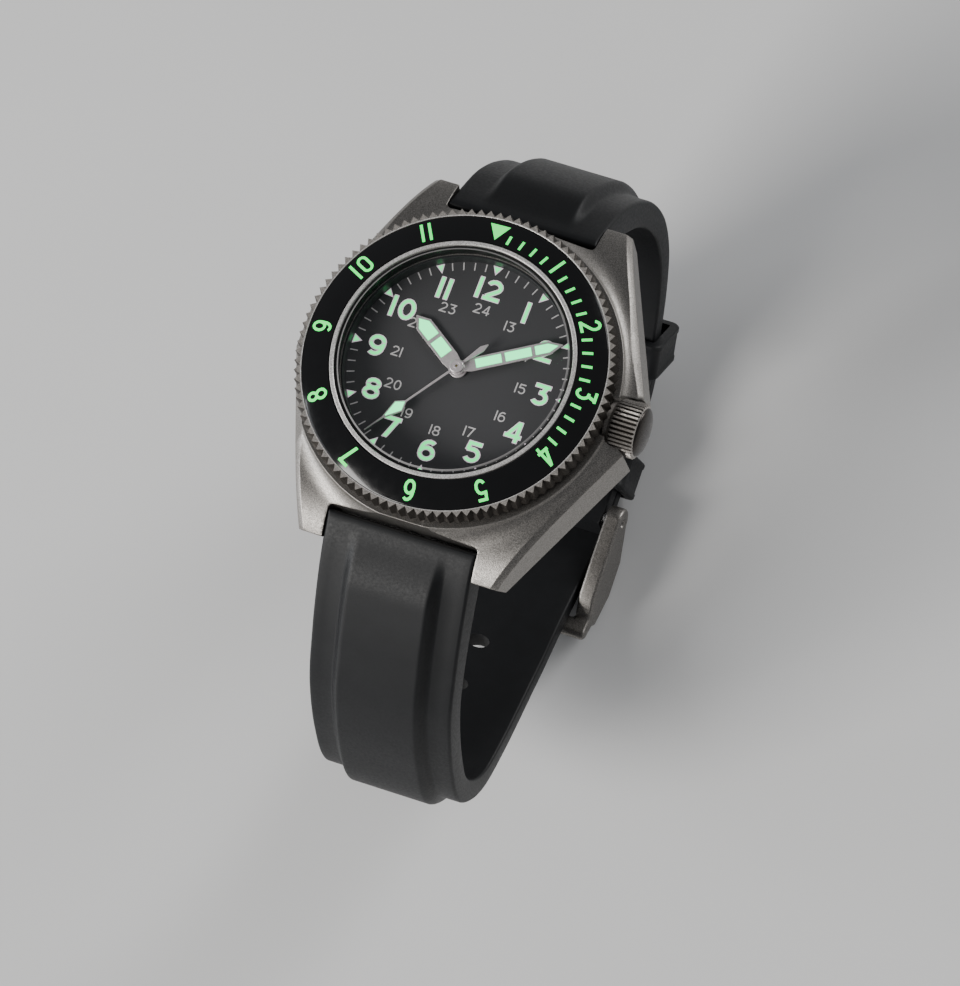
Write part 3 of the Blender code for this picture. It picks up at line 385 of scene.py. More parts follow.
def closed_loft(levels, weld=1e-4):
    """Joins rings of points, and the last ring to the first."""
    made = loft([*levels, levels[0]], closed_ends=False)
    bmesh.ops.remove_doubles(made, verts=made.verts, dist=weld)
    return made


def prism(outline, z_low, z_high):
    return loft([[(x, y, z) for x, y in outline] for z in (z_low, z_high)])


def side_prism(outline, half_width):
    """A (y, z) outline extruded across the watch."""
    return loft([[(x, y, z) for y, z in outline] for x in (-half_width, half_width)])


def box(low, high):
    (x0, y0, z0), (x1, y1, z1) = low, high
    return prism([(x0, y0), (x1, y0), (x1, y1), (x0, y1)], z0, z1)


def moved(made, *matrices):
    for matrix in matrices:
        bmesh.ops.transform(made, matrix=matrix, verts=made.verts)
    return made


def along_x(made, y=0.0, z=0.0):
    return moved(made, Matrix.Rotation(math.pi / 2, 4, "Y"), Matrix.Translation((0, y, z)))


def oval(cx, cy, rx, ry, start, end, steps=40):
    """Points on an oval, with angles in degrees, anticlockwise from +X."""
    angles = np.radians(np.linspace(start, end, steps))
    return [(cx + rx * math.cos(a), cy + ry * math.sin(a)) for a in angles]


def arc(radius, start, end, steps, at=(0, 0)):
    return oval(*at, radius, radius, start, end, steps)


def rod(radius, start, end, steps=32):
    """A round bar along Z."""
    return turned([(0, start), (radius, start), (radius, end), (0, end)], steps)


def across_hole(name, y, z, radius, half=12, steps=32):
    """A tool for a round hole across the watch."""
    return make_object(name, along_x(rod(radius, -half, half, steps), y, z))


def off_axis(face):
    """How far a face lies from the dial's axis, in millimetres."""
    return math.hypot(face.center.x, face.center.y) / MM


def repaint(obj, look, chosen):
    """Gives another look to the faces that chosen(face) picks."""
    obj.data.materials.append(look)
    for face in obj.data.polygons:
        if chosen(face):
            face.material_index = len(obj.data.materials) - 1


def smoothstep(value, start, end):
    t = np.clip((value - start) / (end - start), 0, 1)
    return t * t * (3 - 2 * t)


# ---- numerals: strokes of even width, with flat ends ----


def stroke(points, width):
    """The outline of a stroke along a line of points."""
    line = np.array(points, float)
    step = np.gradient(line, axis=0)
    step[0], step[-1] = line[1] - line[0], line[-1] - line[-2]
    step = unit(step)
    side = np.stack([-step[:, 1], step[:, 0]], 1) * width / 2
    return np.concatenate([line + side, (line - side)[::-1]])


def ring_strokes(cx, cy, rx, ry, width):
    """A closed ring as two overlapping half strokes."""
    return [stroke(oval(cx, cy, rx, ry, 0, 190), width),
            stroke(oval(cx, cy, rx, ry, 180, 370), width)]


def slanted(top_x, top_y, low_x, low_y, width):
    """A straight stroke with level ends, as wide across as given."""
    return np.array([(top_x - width / 2, top_y), (top_x + width / 2, top_y),
                     (low_x + width / 2, low_y), (low_x - width / 2, low_y)])


def level_bar(left, right, low, w):
    return np.array([(left, low), (right, low), (right, low + w), (left, low + w)])


def digit_strokes(digit, w, wide):
    """Outlines of a digit of height 1 that stands on y 0. wide is half its width outside."""
    c = wide - w / 2
    top, low = 1 - w / 2, w / 2
    if digit == "0" and wide < 0.33:
        side = [slanted(x, 1 - wide, x, wide, w) for x in (-c, c)]
        return side + [stroke(oval(0, 1 - wide, c, c, 0, 180), w),
                       stroke(oval(0, wide, c, c, 180, 360), w)]
    if digit == "0":
        return ring_strokes(0, 0.5, c, 0.5 - w / 2, w)
    if digit == "1":
        return [stroke([(0, 0), (0, 1)], w)]
    if digit == "2":
        r = (1 - w) * 0.29
        bowl = oval(0, top - r, c * 0.97, r, 165, -38, 26)
        return [stroke(bowl + [(-c + w * 0.12, low + w * 0.3)], w),
                level_bar(-wide, wide, 0, w)]
    if digit == "3":
        r = (1 - w) * 0.31
        bowl = oval(-0.02, low + r, c, r, 95, -150, 30)
        return [level_bar(-wide * 0.92, wide * 0.92, 1 - w, w),
                slanted(wide * 0.92 - w * 0.6, 1, w * 0.1, low + 2 * r - w * 0.3, w * 1.15),
                stroke([(-0.12, low + 2 * r)] + bowl, w)]
    if digit == "4":
        stem, cross = wide * 0.45, 0.19
        return [slanted(stem, 1, stem, 0, w), level_bar(-wide, wide, cross, w),
                slanted(stem, 1, -wide + w * 0.55, cross + w * 0.3, w * 1.1)]
    if digit == "5":
        r = (1 - w) * 0.33
        bowl = oval(0, low + r, c, r, 105, -150, 30)
        return [level_bar(-wide * 0.78, wide * 0.84, 1 - w, w),
                slanted(-wide * 0.78 + w / 2, 1, -wide * 0.92 + w / 2, low + 1.68 * r, w),
                stroke([(-wide * 0.92 + w * 0.35, low + 1.9 * r)] + bowl, w)]
    if digit in "69":
        r = (1 - w) * 0.325
        tail = [(-c, low + r), (-c * 0.98, low + r * 1.5)]
        tail += oval(c * 0.12, top - (1 - w) * 0.42, c * 1.1, (1 - w) * 0.42, 165, 52, 20)
        found = ring_strokes(0, low + r, c, r, w) + [stroke(tail, w)]
        return found if digit == "6" else [np.array([0, 1]) - s for s in found]
    if digit == "7":
        return [level_bar(-wide, wide, 1 - w, w),
                slanted(wide - w * 0.6, 1, -wide * 0.3, 0, w * 1.15)]
    r = (1 - w) * 0.23
    big = (1 - w) / 2 - r
    return (ring_strokes(0, top - r, c * 0.86, r, w) + ring_strokes(0, low + big, c, big, w))


def signed_distance(points, outline):
    """Distance to an outline, negative inside."""
    nearest = np.full(len(points), np.inf)
    inside = np.zeros(len(points), bool)
    for a, b in zip(outline, np.roll(outline, -1, axis=0)):
        edge = b - a
        length = edge @ edge
        if length < 1e-12:
            continue
        t = np.clip((points - a) @ edge / length, 0, 1)
        nearest = np.minimum(nearest, np.linalg.norm(points - a - t[:, None] * edge, axis=1))
        crosses = (a[1] > points[:, 1]) != (b[1] > points[:, 1])
        if b[1] != a[1]:
            at = a[0] + (points[:, 1] - a[1]) * edge[0] / edge[1]
            inside ^= crosses & (points[:, 0] < at)
    return np.where(inside, -nearest, nearest)


def contours(field, level, origin, step):
    """Closed lines where the field crosses the level."""
    rows, columns = field.shape
    low = field < level
    links, places = {}, {}
    for i in range(rows - 1):
        for j in range(columns - 1):
            corners = [(i, j), (i, j + 1), (i + 1, j + 1), (i + 1, j)]
            cuts = []
            for a, b in zip(corners, corners[1:] + corners[:1]):
                if low[a] != low[b]:
                    key = (i0, j0), (i1, j1) = min(a, b), max(a, b)
                    share = (level - field[i0, j0]) / (field[i1, j1] - field[i0, j0])
                    places[key] = (origin[0] + (j0 + (j1 - j0) * share) * step,
                                   origin[1] + (i0 + (i1 - i0) * share) * step)
                    cuts.append((key, low[a]))
            if len(cuts) == 4 and not cuts[0][1]:
                cuts = cuts[1:] + cuts[:1]
            for first, second in zip(cuts[::2], cuts[1::2]):
                start, end = (first, second) if first[1] else (second, first)
                links[start[0]] = end[0]
    loops = []
    while links:
        start, here = links.popitem()
        loop = [places[start]]
        while here != start:
            loop.append(places[here])
            here = links.pop(here, start)
        if len(loop) > 3:
            loops.append(loop)
    return loops


def simplified(loop, slack, longest=0.5):
    """Drops points that lie on the line between those that stay."""
    kept = [loop[0]]
    for index in range(1, len(loop) - 1):
        a, b, c = (np.array(p) for p in (kept[-1], loop[index], loop[index + 1]))
        along = c - a
        length = np.linalg.norm(along)
        off = abs(along[0] * (b - a)[1] - along[1] * (b - a)[0]) / max(length, 1e-9)
        if off > slack or length > longest:
            kept.append(tuple(b))
    return kept + [loop[-1]]


def number_loops(text, height, weight, wide, space, border=0.0):
    """Closed lines round a number, centred on the origin: the whole shape and its inside.

    weight, wide and space are shares of the height, and the border is in millimetres.
    """
    widths = [weight if d == "1" else 2 * wide for d in text]
    total = sum(widths) + space * (len(text) - 1)
    outlines, x = [], -total / 2
    for digit, width in zip(text, widths):
        for outline in digit_strokes(digit, weight, wide):
            outlines.append((outline + (x + width / 2, -0.5)) * height)
        x += width + space
    step, slack = 0.02 * height, 0.004 * height
    low = np.array([-total / 2, -0.5]) * height - 3 * step
    high = -low
    xs, ys = (np.arange(low[k], high[k] + step, step) for k in (0, 1))
    grid = np.stack(np.meshgrid(xs, ys), -1).reshape(-1, 2)
    field = np.min([signed_distance(grid, outline) for outline in outlines], axis=0)
    field = field.reshape(len(ys), len(xs))
    levels = (0.0, -border) if border else (0.0,)
    return [[simplified(loop, slack) for loop in contours(field, level, low, step)]
            for level in levels]


def flat_marks(name, shapes, surface, lift, look, depth=0.03):
    """Thin marks on a surface. Each shape is a list of closed lines seen from above."""
    data = bpy.data.curves.new(name, "CURVE")
    data.dimensions, data.fill_mode = "2D", "BOTH"
    data.extrude = depth / 2
    for loops in shapes:
        for loop in loops:
            spline = data.splines.new("POLY")
            spline.points.add(len(loop) - 1)
            spline.use_cyclic_u = True
            for point, (x, y) in zip(spline.points, loop):
                point.co = (x, y, 0, 1)
    carrier = add_object(name + "_outline", data)
    bpy.context.view_layer.update()
    mesh = bpy.data.meshes.new_from_object(carrier)
    bpy.data.objects.remove(carrier)
    made = bmesh.new()
    made.from_mesh(mesh)
    bmesh.ops.remove_doubles(made, verts=made.verts, dist=1e-4)
    for vert in made.verts:
        x, y, z = vert.co
        vert.co.z = surface(math.hypot(x, y)) + lift + (z - depth / 2)
    return make_object(name, made, look, 20)


def level_at(height):
    """A flat surface for flat_marks."""
    return lambda _radius: height


def placed(loops, radius, bearing, turn):
    """Lines moved to a radius and a bearing from 12, and turned. Both angles are clockwise."""
    b, t = math.radians(bearing), -math.radians(turn)
    x0, y0 = radius * math.sin(b), radius * math.cos(b)
    return [[(x0 + x * math.cos(t) - y * math.sin(t), y0 + x * math.sin(t) + y * math.cos(t))
             for x, y in loop] for loop in loops]


def bar(width, length):
    return [[(-width / 2, -length / 2), (width / 2, -length / 2), (width / 2, length / 2),
             (-width / 2, length / 2)]]


def triangle(width, inner, outer, middle):
    """A triangle that points to the centre, about the radius given."""
    return [[(-width / 2, outer - middle), (0, inner - middle), (width / 2, outer - middle)]]


# ---- case ----

FLANKS = [(12.83, 25.4), (23.0, 3.9), (23.0, -3.9), (12.83, -25.4),
          (-12.75, -25.4), (-21.3, -2.6), (-21.3, 2.6), (-12.75, 25.4)]
CASE_TOP, CASE_BOTTOM = 8.9, 2.0
ARCH_DROP, ARCH_Y = 3.2, 24.2  # how far the top has fallen at the lugs, and where
CHAMFER = 0.65
CHAMFER_REACH = CHAMFER + 0.3  # how far in the chamfer keeps its slope before it steepens
KNEE_RISE = 0.22  # the least steep rise that gives the chamfer a second edge
COLLAR_R, COLLAR_Z, SWEEP = 20.6, 10.0, 2.4
FOOT = 0.4  # the cut along the edge of the underside
EDGE_ROOM = 0.14  # kept free of points beside the top face's edges, which get rounded
SEAT_R, BORE_R, LEDGE_R, NECK_R = 16.25, 14.95, 14.4, 16.8
SEAT_Z, LEDGE_Z, NECK_Z = CASE_BOTTOM + 0.25, 11.6, 12.0
RAY_STEP, CORNER_ROOM = 0.75, 0.0065  # degrees between rays, and radians clear at a corner
TIP_Y, TIP_LEAN = 23.2, 0.3  # the cut across the lug tips
NOTCH_R, NOTCH_X = 3.75, 19.5  # the recess for the crown


def arch_height(y):
    return CASE_TOP - ARCH_DROP * abs(y / ARCH_Y) ** 6


def flank_reach(angle, distance):
    """How far from the middle a ray meets the flanks, set in by the distance."""
    reach = 1e9
    for (ax, ay), (bx, by) in zip(FLANKS, FLANKS[1:] + FLANKS[:1]):
        length = math.hypot(bx - ax, by - ay)
        nx, ny = (ay - by) / length, (bx - ax) / length
        facing = nx * math.cos(angle) + ny * math.sin(angle)
        if facing > 1e-6:
            reach = min(reach, (nx * ax + ny * ay - distance) / facing)
    return reach


def top_height(r, angle):
    """The top face: an arch along the lugs, swept up to the collar round the bezel."""
    arch = arch_height(r * math.sin(angle))
    share = min(max(1 - (r - COLLAR_R) / SWEEP, 0.0), 1.0)
    return COLLAR_Z - (COLLAR_Z - arch) * math.sqrt(1 - share * share)


def chamfer_height(r, angle, reach, inner_reach):
    """The chamfer rises evenly from the flank to its reach, and steeply from there."""
    rise = (reach - r) / (reach - inner_reach) * CHAMFER_REACH
    steep = max(0.0, rise - CHAMFER_REACH) * 5
    return arch_height(r * math.sin(angle)) - CHAMFER + min(rise, CHAMFER_REACH) + steep


def case_ray(angle):
    """(radius, height) points of the case's section at an angle, from the foot up."""
    reach, shoulder = (flank_reach(angle, d) for d in (0.0, CHAMFER_REACH))

    def bevelled(r):
        return chamfer_height(r, angle, reach, shoulder)

    crest, beyond = 19.0, reach
    for _ in range(30):
        middle = (crest + beyond) / 2
        if top_height(middle, angle) < bevelled(middle):
            crest = middle
        else:
            beyond = middle
    knee = shoulder if bevelled(crest) > KNEE_RISE + bevelled(shoulder) else crest
    points = [(SEAT_R, CASE_BOTTOM), (flank_reach(angle, FOOT), CASE_BOTTOM),
              (reach, CASE_BOTTOM + FOOT)]
    points += [(r, bevelled(r)) for r in (reach, knee, crest)]
    start = min(COLLAR_R, crest)
    room = min(EDGE_ROOM, (crest - start) / 3)
    for share in np.linspace(1, 0, 20):
        r = start + room + (crest - start - 2 * room) * share ** 1.6
        points.append((r, top_height(r, angle)))
    points.append((start, top_height(start, angle)))
    return points + [(NECK_R, COLLAR_Z), (NECK_R, NECK_Z), (LEDGE_R, NECK_Z), (LEDGE_R, LEDGE_Z),
                     (BORE_R, LEDGE_Z), (BORE_R, SEAT_Z), (SEAT_R, SEAT_Z)]


def make_case():
    corners = [math.atan2(y, x) for x, y in FLANKS]
    angles = [a for a in np.radians(np.arange(-180, 180, RAY_STEP))
              if min(abs(a - c) for c in corners) > CORNER_ROOM]
    rays = [(a, case_ray(a)) for a in sorted(angles + corners)]
    levels = [[(*polar(points[k][0], a), points[k][1]) for a, points in rays]
              for k in range(len(rays[0][1]))]
    case = make_object("watch_case", closed_loft(levels, 2e-3), CASE_METAL)

    corner, end, half = 0.6, 20.4, 10.0  # of the gap between two lugs
    slot = [*arc(corner, 180, 270, 6, (-half + corner, end + corner)),
            *arc(corner, 270, 360, 6, (half - corner, end + corner))]
    far, high = 30, 15  # beyond the case and above it
    tip_low, tip_high = (TIP_Y + TIP_LEAN * (z - CASE_BOTTOM) for z in (0, high))
    tools = []
    for side in (-1, 1):
        outline = [(-half, side * far), *[(x, side * y) for x, y in slot], (half, side * far)]
        tools.append(make_object("lug_gap", prism(outline, 0, high)))
        beyond = [(side * y, z) for y, z in ((tip_low, 0), (far, 0), (far, high), (tip_high, high))]
        tools.append(make_object("tip_cut", side_prism(beyond, far)))
        tools.append(across_hole("bar_hole", side * SPRING_BAR_Y, SPRING_BAR_Z, 0.5, 11.3, 24))
    notch = [(-NOTCH_R, 0), (NOTCH_R, 0), *arc(NOTCH_R, 0, 180, 41, (0, STEM_Z))]
    recess = loft([[(x, y, z) for y, z in notch] for x in (NOTCH_X, 26)])
    tools.append(make_object("crown_notch", recess))
    tools.append(make_object("tube_hole", along_x(rod(1.45, 13, 21), 0, STEM_Z)))
    boolean(case, "DIFFERENCE", *tools)
    soften(case, 0.07, 2, 28)
    repaint(case, WALL_GREY, lambda face: off_axis(face) < 15 and face.center.z > 11.3 * MM)
    piece(case, "case", "case_metal", "mid_case")


# ---- bezel ----


def insert_height(r):
    share = (r - INSERT_IN_R) / (INSERT_OUT_R - INSERT_IN_R)
    return INSERT_IN_Z + (INSERT_OUT_Z - INSERT_IN_Z) * share


def make_bezel():
    """The coin edge: V grooves that run out through the rim, between pointed teeth."""
    teeth = 102
    (_, _, low), (tip_r, _, top) = node_box("bezel_ring")
    rings = [  # radius and height at a tooth's tip, then in the groove where it differs
        (19.25, 12.4), (19.25, top - 0.04), (19.29, top), (19.38, top),
        (tip_r - 0.06, top - 0.02, 19.40, top - 0.03), (tip_r, top - 0.10, 19.44, top - 0.12),
        (tip_r, top - 0.9, 19.72, top - 0.9), (tip_r, top - 1.5, 19.86, top - 1.5),
        (tip_r, low + 0.5, 19.86, low + 0.5), (19.7, low, 19.6, low), (16.95, low),
        (16.95, 12.15), (15.55, 12.15), (15.55, 12.4)]
    levels = []
    for ring in rings:
        level = []
        for index in range(2 * teeth):
            r, z = ring[-2:] if index % 2 else ring[:2]
            a = index * math.pi / teeth + math.radians(BEZEL_TURN)
            level.append((*polar(r, a), z))
        levels.append(level)
    ring = make_object("bezel_coin_edge", closed_loft(levels), PAINTED_LIGHT_BEZEL_METAL, 20)
    # Painted shade: the groove faces of the coin edge get the dark steel.
    repaint(ring, PAINTED_SHADE_METAL, lambda face: off_axis(face) > 19.5 and abs(face.normal.z) < 0.6)
    # Painted highlight: the thin flat ring at the bezel's inner edge gets the light steel.
    repaint(ring, RIM_METAL_AND_HIGHLIGHT, lambda face: (19.2 < off_axis(face) < 19.37
                                           and face.center.z / MM > top - 0.06))
    piece(ring, "bezel", "case_metal", "bezel_ring")

    inner = [(INSERT_IN_R, INSERT_IN_Z - 0.22), (INSERT_IN_R + 0.03, INSERT_IN_Z - 0.08),
             (INSERT_IN_R + 0.12, INSERT_IN_Z - 0.05)]
    outer = [(INSERT_OUT_R - 0.1, insert_height(INSERT_OUT_R - 0.1)),
             (INSERT_OUT_R - 0.03, INSERT_OUT_Z - 0.02), (INSERT_OUT_R, INSERT_OUT_Z - 0.1)]
    under = 12.45
    plate = turned([(INSERT_IN_R, under), *inner, *outer, (INSERT_OUT_R, under)], 256)
    piece(make_object("bezel_face", plate, INSERT_BLACK, 25), "bezel", "bezel_black",
          "bezel_insert")

    mark_r, bar_r, number_r, tick_r = 17.4, 17.3, 17.42, 16.75
    shapes = [placed(triangle(width=2.65, inner=16.25, outer=18.5, middle=mark_r), mark_r, 0, 0),
              placed(bar(width=0.40, length=2.4), bar_r, 30, 30)]
    for number in range(2, 12):
        loops = number_loops(str(number), height=2.65, weight=0.14, wide=0.28, space=0.235)[0]
        shapes.append(placed(loops, number_r, number * 30, number * 30))
    for minute in range(1, 20):
        if minute % 5:
            shapes.append(placed(bar(width=0.35, length=1.3), tick_r, minute * 6, minute * 6))
    lean = [placed(loops, 0, 0, -BEZEL_TURN) for loops in shapes]
    piece(flat_marks("bezel_marks", lean, insert_height, 0.015, LUME), "bezel", "bezel_black")


# ---- crystal, dial and hands ----


def make_glass():
    (_, _, low), (reach, _, top) = node_box("crystal")
    edge_r = 0.22
    edge = [(reach - edge_r * (1 - math.sin(t)), top - edge_r * (1 - math.cos(t)))
            for t in np.linspace(math.pi / 2, 0, 6)]
    disc = make_object("crystal_disc", turned([(0, low), (reach, low), *edge, (0, top)]), GLASS)
    # Painted highlight: the faces of the rounded edge get the pale glass.
    repaint(disc, GLASS_EDGE_HIGHLIGHT, lambda face: 0.1 < face.normal.z < 0.99)
    piece(disc, "case", "sapphire", "crystal")
    rim = turned([(14.98, 12.05), (15.5, 12.05), (15.5, 14.2), (15.42, 14.30), (15.06, 14.34),
                  (14.98, 14.26)])
    piece(make_object("crystal_rim", rim, RIM_METAL_AND_HIGHLIGHT, 25), "case", "case_metal", "crystal_ring")
    foot = DIAL_TOP + 0.05
    wall = turned([(14.2, foot), (14.85, foot), (14.85, 11.55), (14.36, 11.55), (14.36, 12.06),
                   (14.24, 12.06), (14.2, 12.0)])
    piece(make_object("dial_wall", wall, WALL_GREY, 25), "case", "dial_anthracite",
          "chapter_ring")


def make_dial():
    track_r, hours_r, print_r, hole_r = 13.6, 11.0, 8.3, 0.8
    disc = turned([(hole_r, DIAL_LOW[2]), (DIAL_HIGH[0], DIAL_LOW[2]), (DIAL_HIGH[0], DIAL_TOP),
                   (hole_r, DIAL_TOP)], 256)
    piece(make_object("dial_disc", disc, DIAL_GREY), "case", "dial_anthracite", "dial")
    borders, fills, prints = [], [], []
    for hour in range(1, 13):
        bearing = hour * 30
        width = 1.3 if hour % 3 == 0 else 1.1
        outer = triangle(width, inner=12.95, outer=14.15, middle=track_r)
        inner = triangle(width - 0.42, inner=13.3, outer=14.02, middle=track_r)
        borders.append(placed(outer, track_r, bearing, bearing))
        fills.append(placed(inner, track_r, bearing, bearing))
        whole, inside = number_loops(str(hour), height=2.9, weight=0.22, wide=0.40, space=0.14,
                                     border=0.13)
        borders.append(placed(whole, hours_r, bearing, 0))
        fills.append(placed(inside, hours_r, bearing, 0))
        small = number_loops(str(hour + 12), height=1.32, weight=0.13, wide=0.36, space=0.16)[0]
        prints.append(placed(small, print_r, bearing, 0))
    for minute in range(60):
        if minute % 5:
            prints.append(placed(bar(width=0.15, length=1.0), track_r, minute * 6, minute * 6))
    for name, shapes, lift, look, depth in (
            ("dial_numeral_borders", borders, 0.012, BORDER, 0.03),
            ("dial_numeral_lume", fills, 0.035, LUME_BRIGHT, 0.03),
            ("dial_print", prints, 0.008, PRINT, 0.02)):
        marks = flat_marks(name, shapes, level_at(DIAL_TOP), lift, look, depth)
        piece(marks, "case", "dial_anthracite")


def blade(length, width, point, neck):
    """A hand's outline along +Y, pointed, and a little narrower at the hub."""
    half = width / 2
    return [(-neck / 2, -0.5), (neck / 2, -0.5), (neck / 2, 0.6), (half, 1.7),
            (half, length - point), (0.06, length), (-0.06, length), (-half, length - point),
            (-half, 1.7), (-neck / 2, 0.6)]


def make_hand(name, cad, body, angle, outline, fields, hub_r):
    """A hand at an angle clockwise from 12, with its hub and its lume."""
    turn = Matrix.Rotation(-math.radians(angle), 4, "Z")
    low = node_box(cad)[0][2] + 0.02
    top = low + 0.2
    hand = make_object(name, moved(prism(outline, low, top), turn), HAND_METAL)
    hub = turned([(0, low), (hub_r, low), (hub_r, top + 0.02), (hub_r - 0.06, top + 0.07),
                  (0, top + 0.07)], 64)
    boolean(hand, "UNION", make_object("hub", hub))
    soften(hand, 0.035)
    piece(hand, body, "hand_metal", cad)
    shapes = [[[tuple((turn @ Vector((x, y, 0)))[:2]) for x, y in loop]] for loop in fields]
    lume = flat_marks(name + "_lume", shapes, level_at(top), 0.012, LUME_HANDS, 0.05)
    piece(lume, body, "hand_metal")


def field(low, high, half, point=None):
    """A lume field on a hand: a rectangle, or one that ends in a point."""
    tip = [(0, point)] if point else []
    return [(-half, low), (half, low), (half, high), *tip, (-half, high)]


def make_hands():
    make_hand("hour_hand_blade", "hour_hand", "hour", 304.0,
              blade(length=9.0, width=2.2, point=1.55, neck=1.8),
              [field(2.5, 4.8, 0.79), field(5.35, 7.35, 0.79, 8.45)], hub_r=1.17)
    make_hand("minute_hand_blade", "minute_hand", "minute", 60.0,
              blade(length=13.4, width=1.75, point=1.75, neck=1.3),
              [field(2.35, 5.6, 0.57), field(6.1, 9.4, 0.57), field(9.9, 11.6, 0.57, 12.8)],
              hub_r=0.95)
    needle = [(-0.16, -1.2), (-0.40, -3.8), (-0.06, -4.75), (0.06, -4.75), (0.40, -3.8),
              (0.16, -1.2), (0.13, 7.6), (0.85, 8.7), (0.12, 11.1), (0.07, 13.85),
              (-0.07, 13.85), (-0.12, 11.1), (-0.85, 8.7), (-0.13, 7.6)]
    diamond = [(0, 7.75), (0.68, 8.7), (0.06, 10.7), (-0.06, 10.7), (-0.68, 8.7)]
    hub_r, shaded_dimple_r = 0.86, 0.155
    make_hand("seconds_hand_needle", "seconds_hand", "seconds", 216.0, needle, [diamond], hub_r)
    top = node_box("fourth_wheel")[1][2] + 0.05
    profile = [(0, top - 0.08), (0.14, top - 0.08), (0.16, top), (0.34, top), (0.36, top - 0.015),
               (0.39, top - 0.015), (0.41, top), (0.80, top), (hub_r, top - 0.05),
               (hub_r, top - 0.12), (0, top - 0.12)]
    cap = make_object("seconds_hub_cap", turned(profile, 64), HAND_METAL)
    # Painted shade: the floor of the small dimple in the cap is painted black.
    repaint(cap, INSERT_BLACK, lambda face: off_axis(face) < shaded_dimple_r)
    piece(cap, "seconds", "hand_metal")


# ---- crown ----


def make_crown():
    """Ribs that taper into a plain cone at the case and a smooth dome at the end."""
    start, ribbed, end = CROWN_LOW[0], 23.95, CROWN_HIGH[0] - 0.05
    ribs, steps, rib_depth = 36, 8, 0.36
    cone, cone_r, slope = start + 0.5, 2.9, 1.13
    taper, base, dome_r = ribbed - 0.18, ribbed + 0.03, CROWN_R - 0.45
    stations = [(start, cone_r), (cone, cone_r)]
    stations += [(cone + rise, cone_r + rise * slope) for rise in (0.15, 0.3, 0.45, 0.6)]
    stations += [(x, CROWN_R) for x in np.linspace(start + 1.3, taper, 6)]
    stations += [(taper + rise, CROWN_R - rise * 2) for rise in (0.06, 0.12, 0.18)]
    stations += [(base + (end - base) * math.sin(t), dome_r * math.cos(t))
                 for t in np.linspace(0, math.pi / 2, 16)[:-1]]
    levels = []
    for x, limit in stations:
        level = []
        for index in range(ribs * steps):
            a = index * TAU / (ribs * steps)
            wave = abs(2 * (index / steps % 1) - 1)
            r = min(limit, CROWN_R - rib_depth * (1 - wave))
            level.append((x, r * math.cos(a), STEM_Z + r * math.sin(a)))
        levels.append(level)
    crown = make_object("crown_grip", loft(levels), PAINTED_LIGHT_BEZEL_METAL, 28)
    bore = turned([(0, 19), (2.3, 19), (2.3, 22.4), (0.5, 22.4), (0.5, 23.3), (0, 23.3)], 48)
    boolean(crown, "DIFFERENCE", make_object("bore", along_x(bore, 0, STEM_Z)))

    def depth(face):
        """How far a face lies below the tops of the ribs."""
        return CROWN_R - math.hypot(face.center.y / MM, face.center.z / MM - STEM_Z)

    # Painted reflection: the domed end of the crown takes the near-black steel.
    repaint(crown, CAP_PAINTED_REFLECTION_METAL, lambda face: face.center.x / MM > base)
    # Painted shade: the faces deep in the rib valleys get the dark steel.
    repaint(crown, PAINTED_SHADE_METAL, lambda face: (rib_depth * 0.6 < depth(face) < rib_depth
                                               and abs(face.normal.x) < 0.2))
    piece(crown, "crown", "case_metal", "crown")


# ---- strap ----

STRAP_6_LINE = [(-20.75, 7.9), (-24.7, 5.2), (-29.8, 0.4), (-34.0, -4.3), (-38.5, -10.5),
                (-42.0, -19.5), (-43.4, -28.8), (-39.9, -36.7), (-33.1, -41.0),
                (-21.3, -45.1), (-13.8, -46.95), (-6.0, -49.3), (1.0, -50.7)]
STRAP_12_LINE = [(20.75, 7.9), (24.5, 5.0), (28.6, 0.9), (32.0, -4.8), (34.6, -11.8),
                 (35.6, -19.8), (34.3, -27.2), (31.1, -33.3), (27.3, -38.2), (22.5, -42.8),
                 (15.5, -46.3), (8.0, -47.8), (2.2, -48.1), (0.4, -47.9)]
TAIL_THICK, TAIL_RUNS = 2.4, (77.4, 52.4)
BAND_RISE = 1.4  # the raised band along the middle


def skin(points, direction, spacing):
    """A smooth curve through points: places the spacing apart, their runs and normals."""
    known = np.array([(2 * np.array(points[0]) - points[1]), *points,
                      (2 * np.array(points[-1]) - points[-2])])
    dense = []
    for a, b, c, d in zip(known, known[1:], known[2:], known[3:]):
        for t in np.linspace(0, 1, 20, endpoint=False):
            dense.append(0.5 * (2 * b + (c - a) * t + (2 * a - 5 * b + 4 * c - d) * t * t
                                + (3 * b - a - 3 * c + d) * t ** 3))
    dense = np.array([*dense, points[-1]])
    run = np.concatenate([[0], np.cumsum(np.linalg.norm(np.diff(dense, axis=0), axis=1))])
    runs = np.linspace(0, run[-1], round(run[-1] / spacing) + 1)
    line = np.array([np.interp(runs, run, dense[:, axis]) for axis in (0, 1)]).T
    tangents = unit(np.gradient(line, axis=0))
    return line, runs, np.stack([direction * tangents[:, 1], -direction * tangents[:, 0]], 1)


def above_short_strap(run, height):
    points, runs, normals = skin(STRAP_12_LINE, -1, 1.0)
    y, z, out_y, out_z = (np.interp(run, runs, column) for column in (*points.T, *normals.T))
    length = math.hypot(out_y, out_z)
    return y + out_y / length * height, z + out_z / length * height, math.atan2(out_y, -out_z)


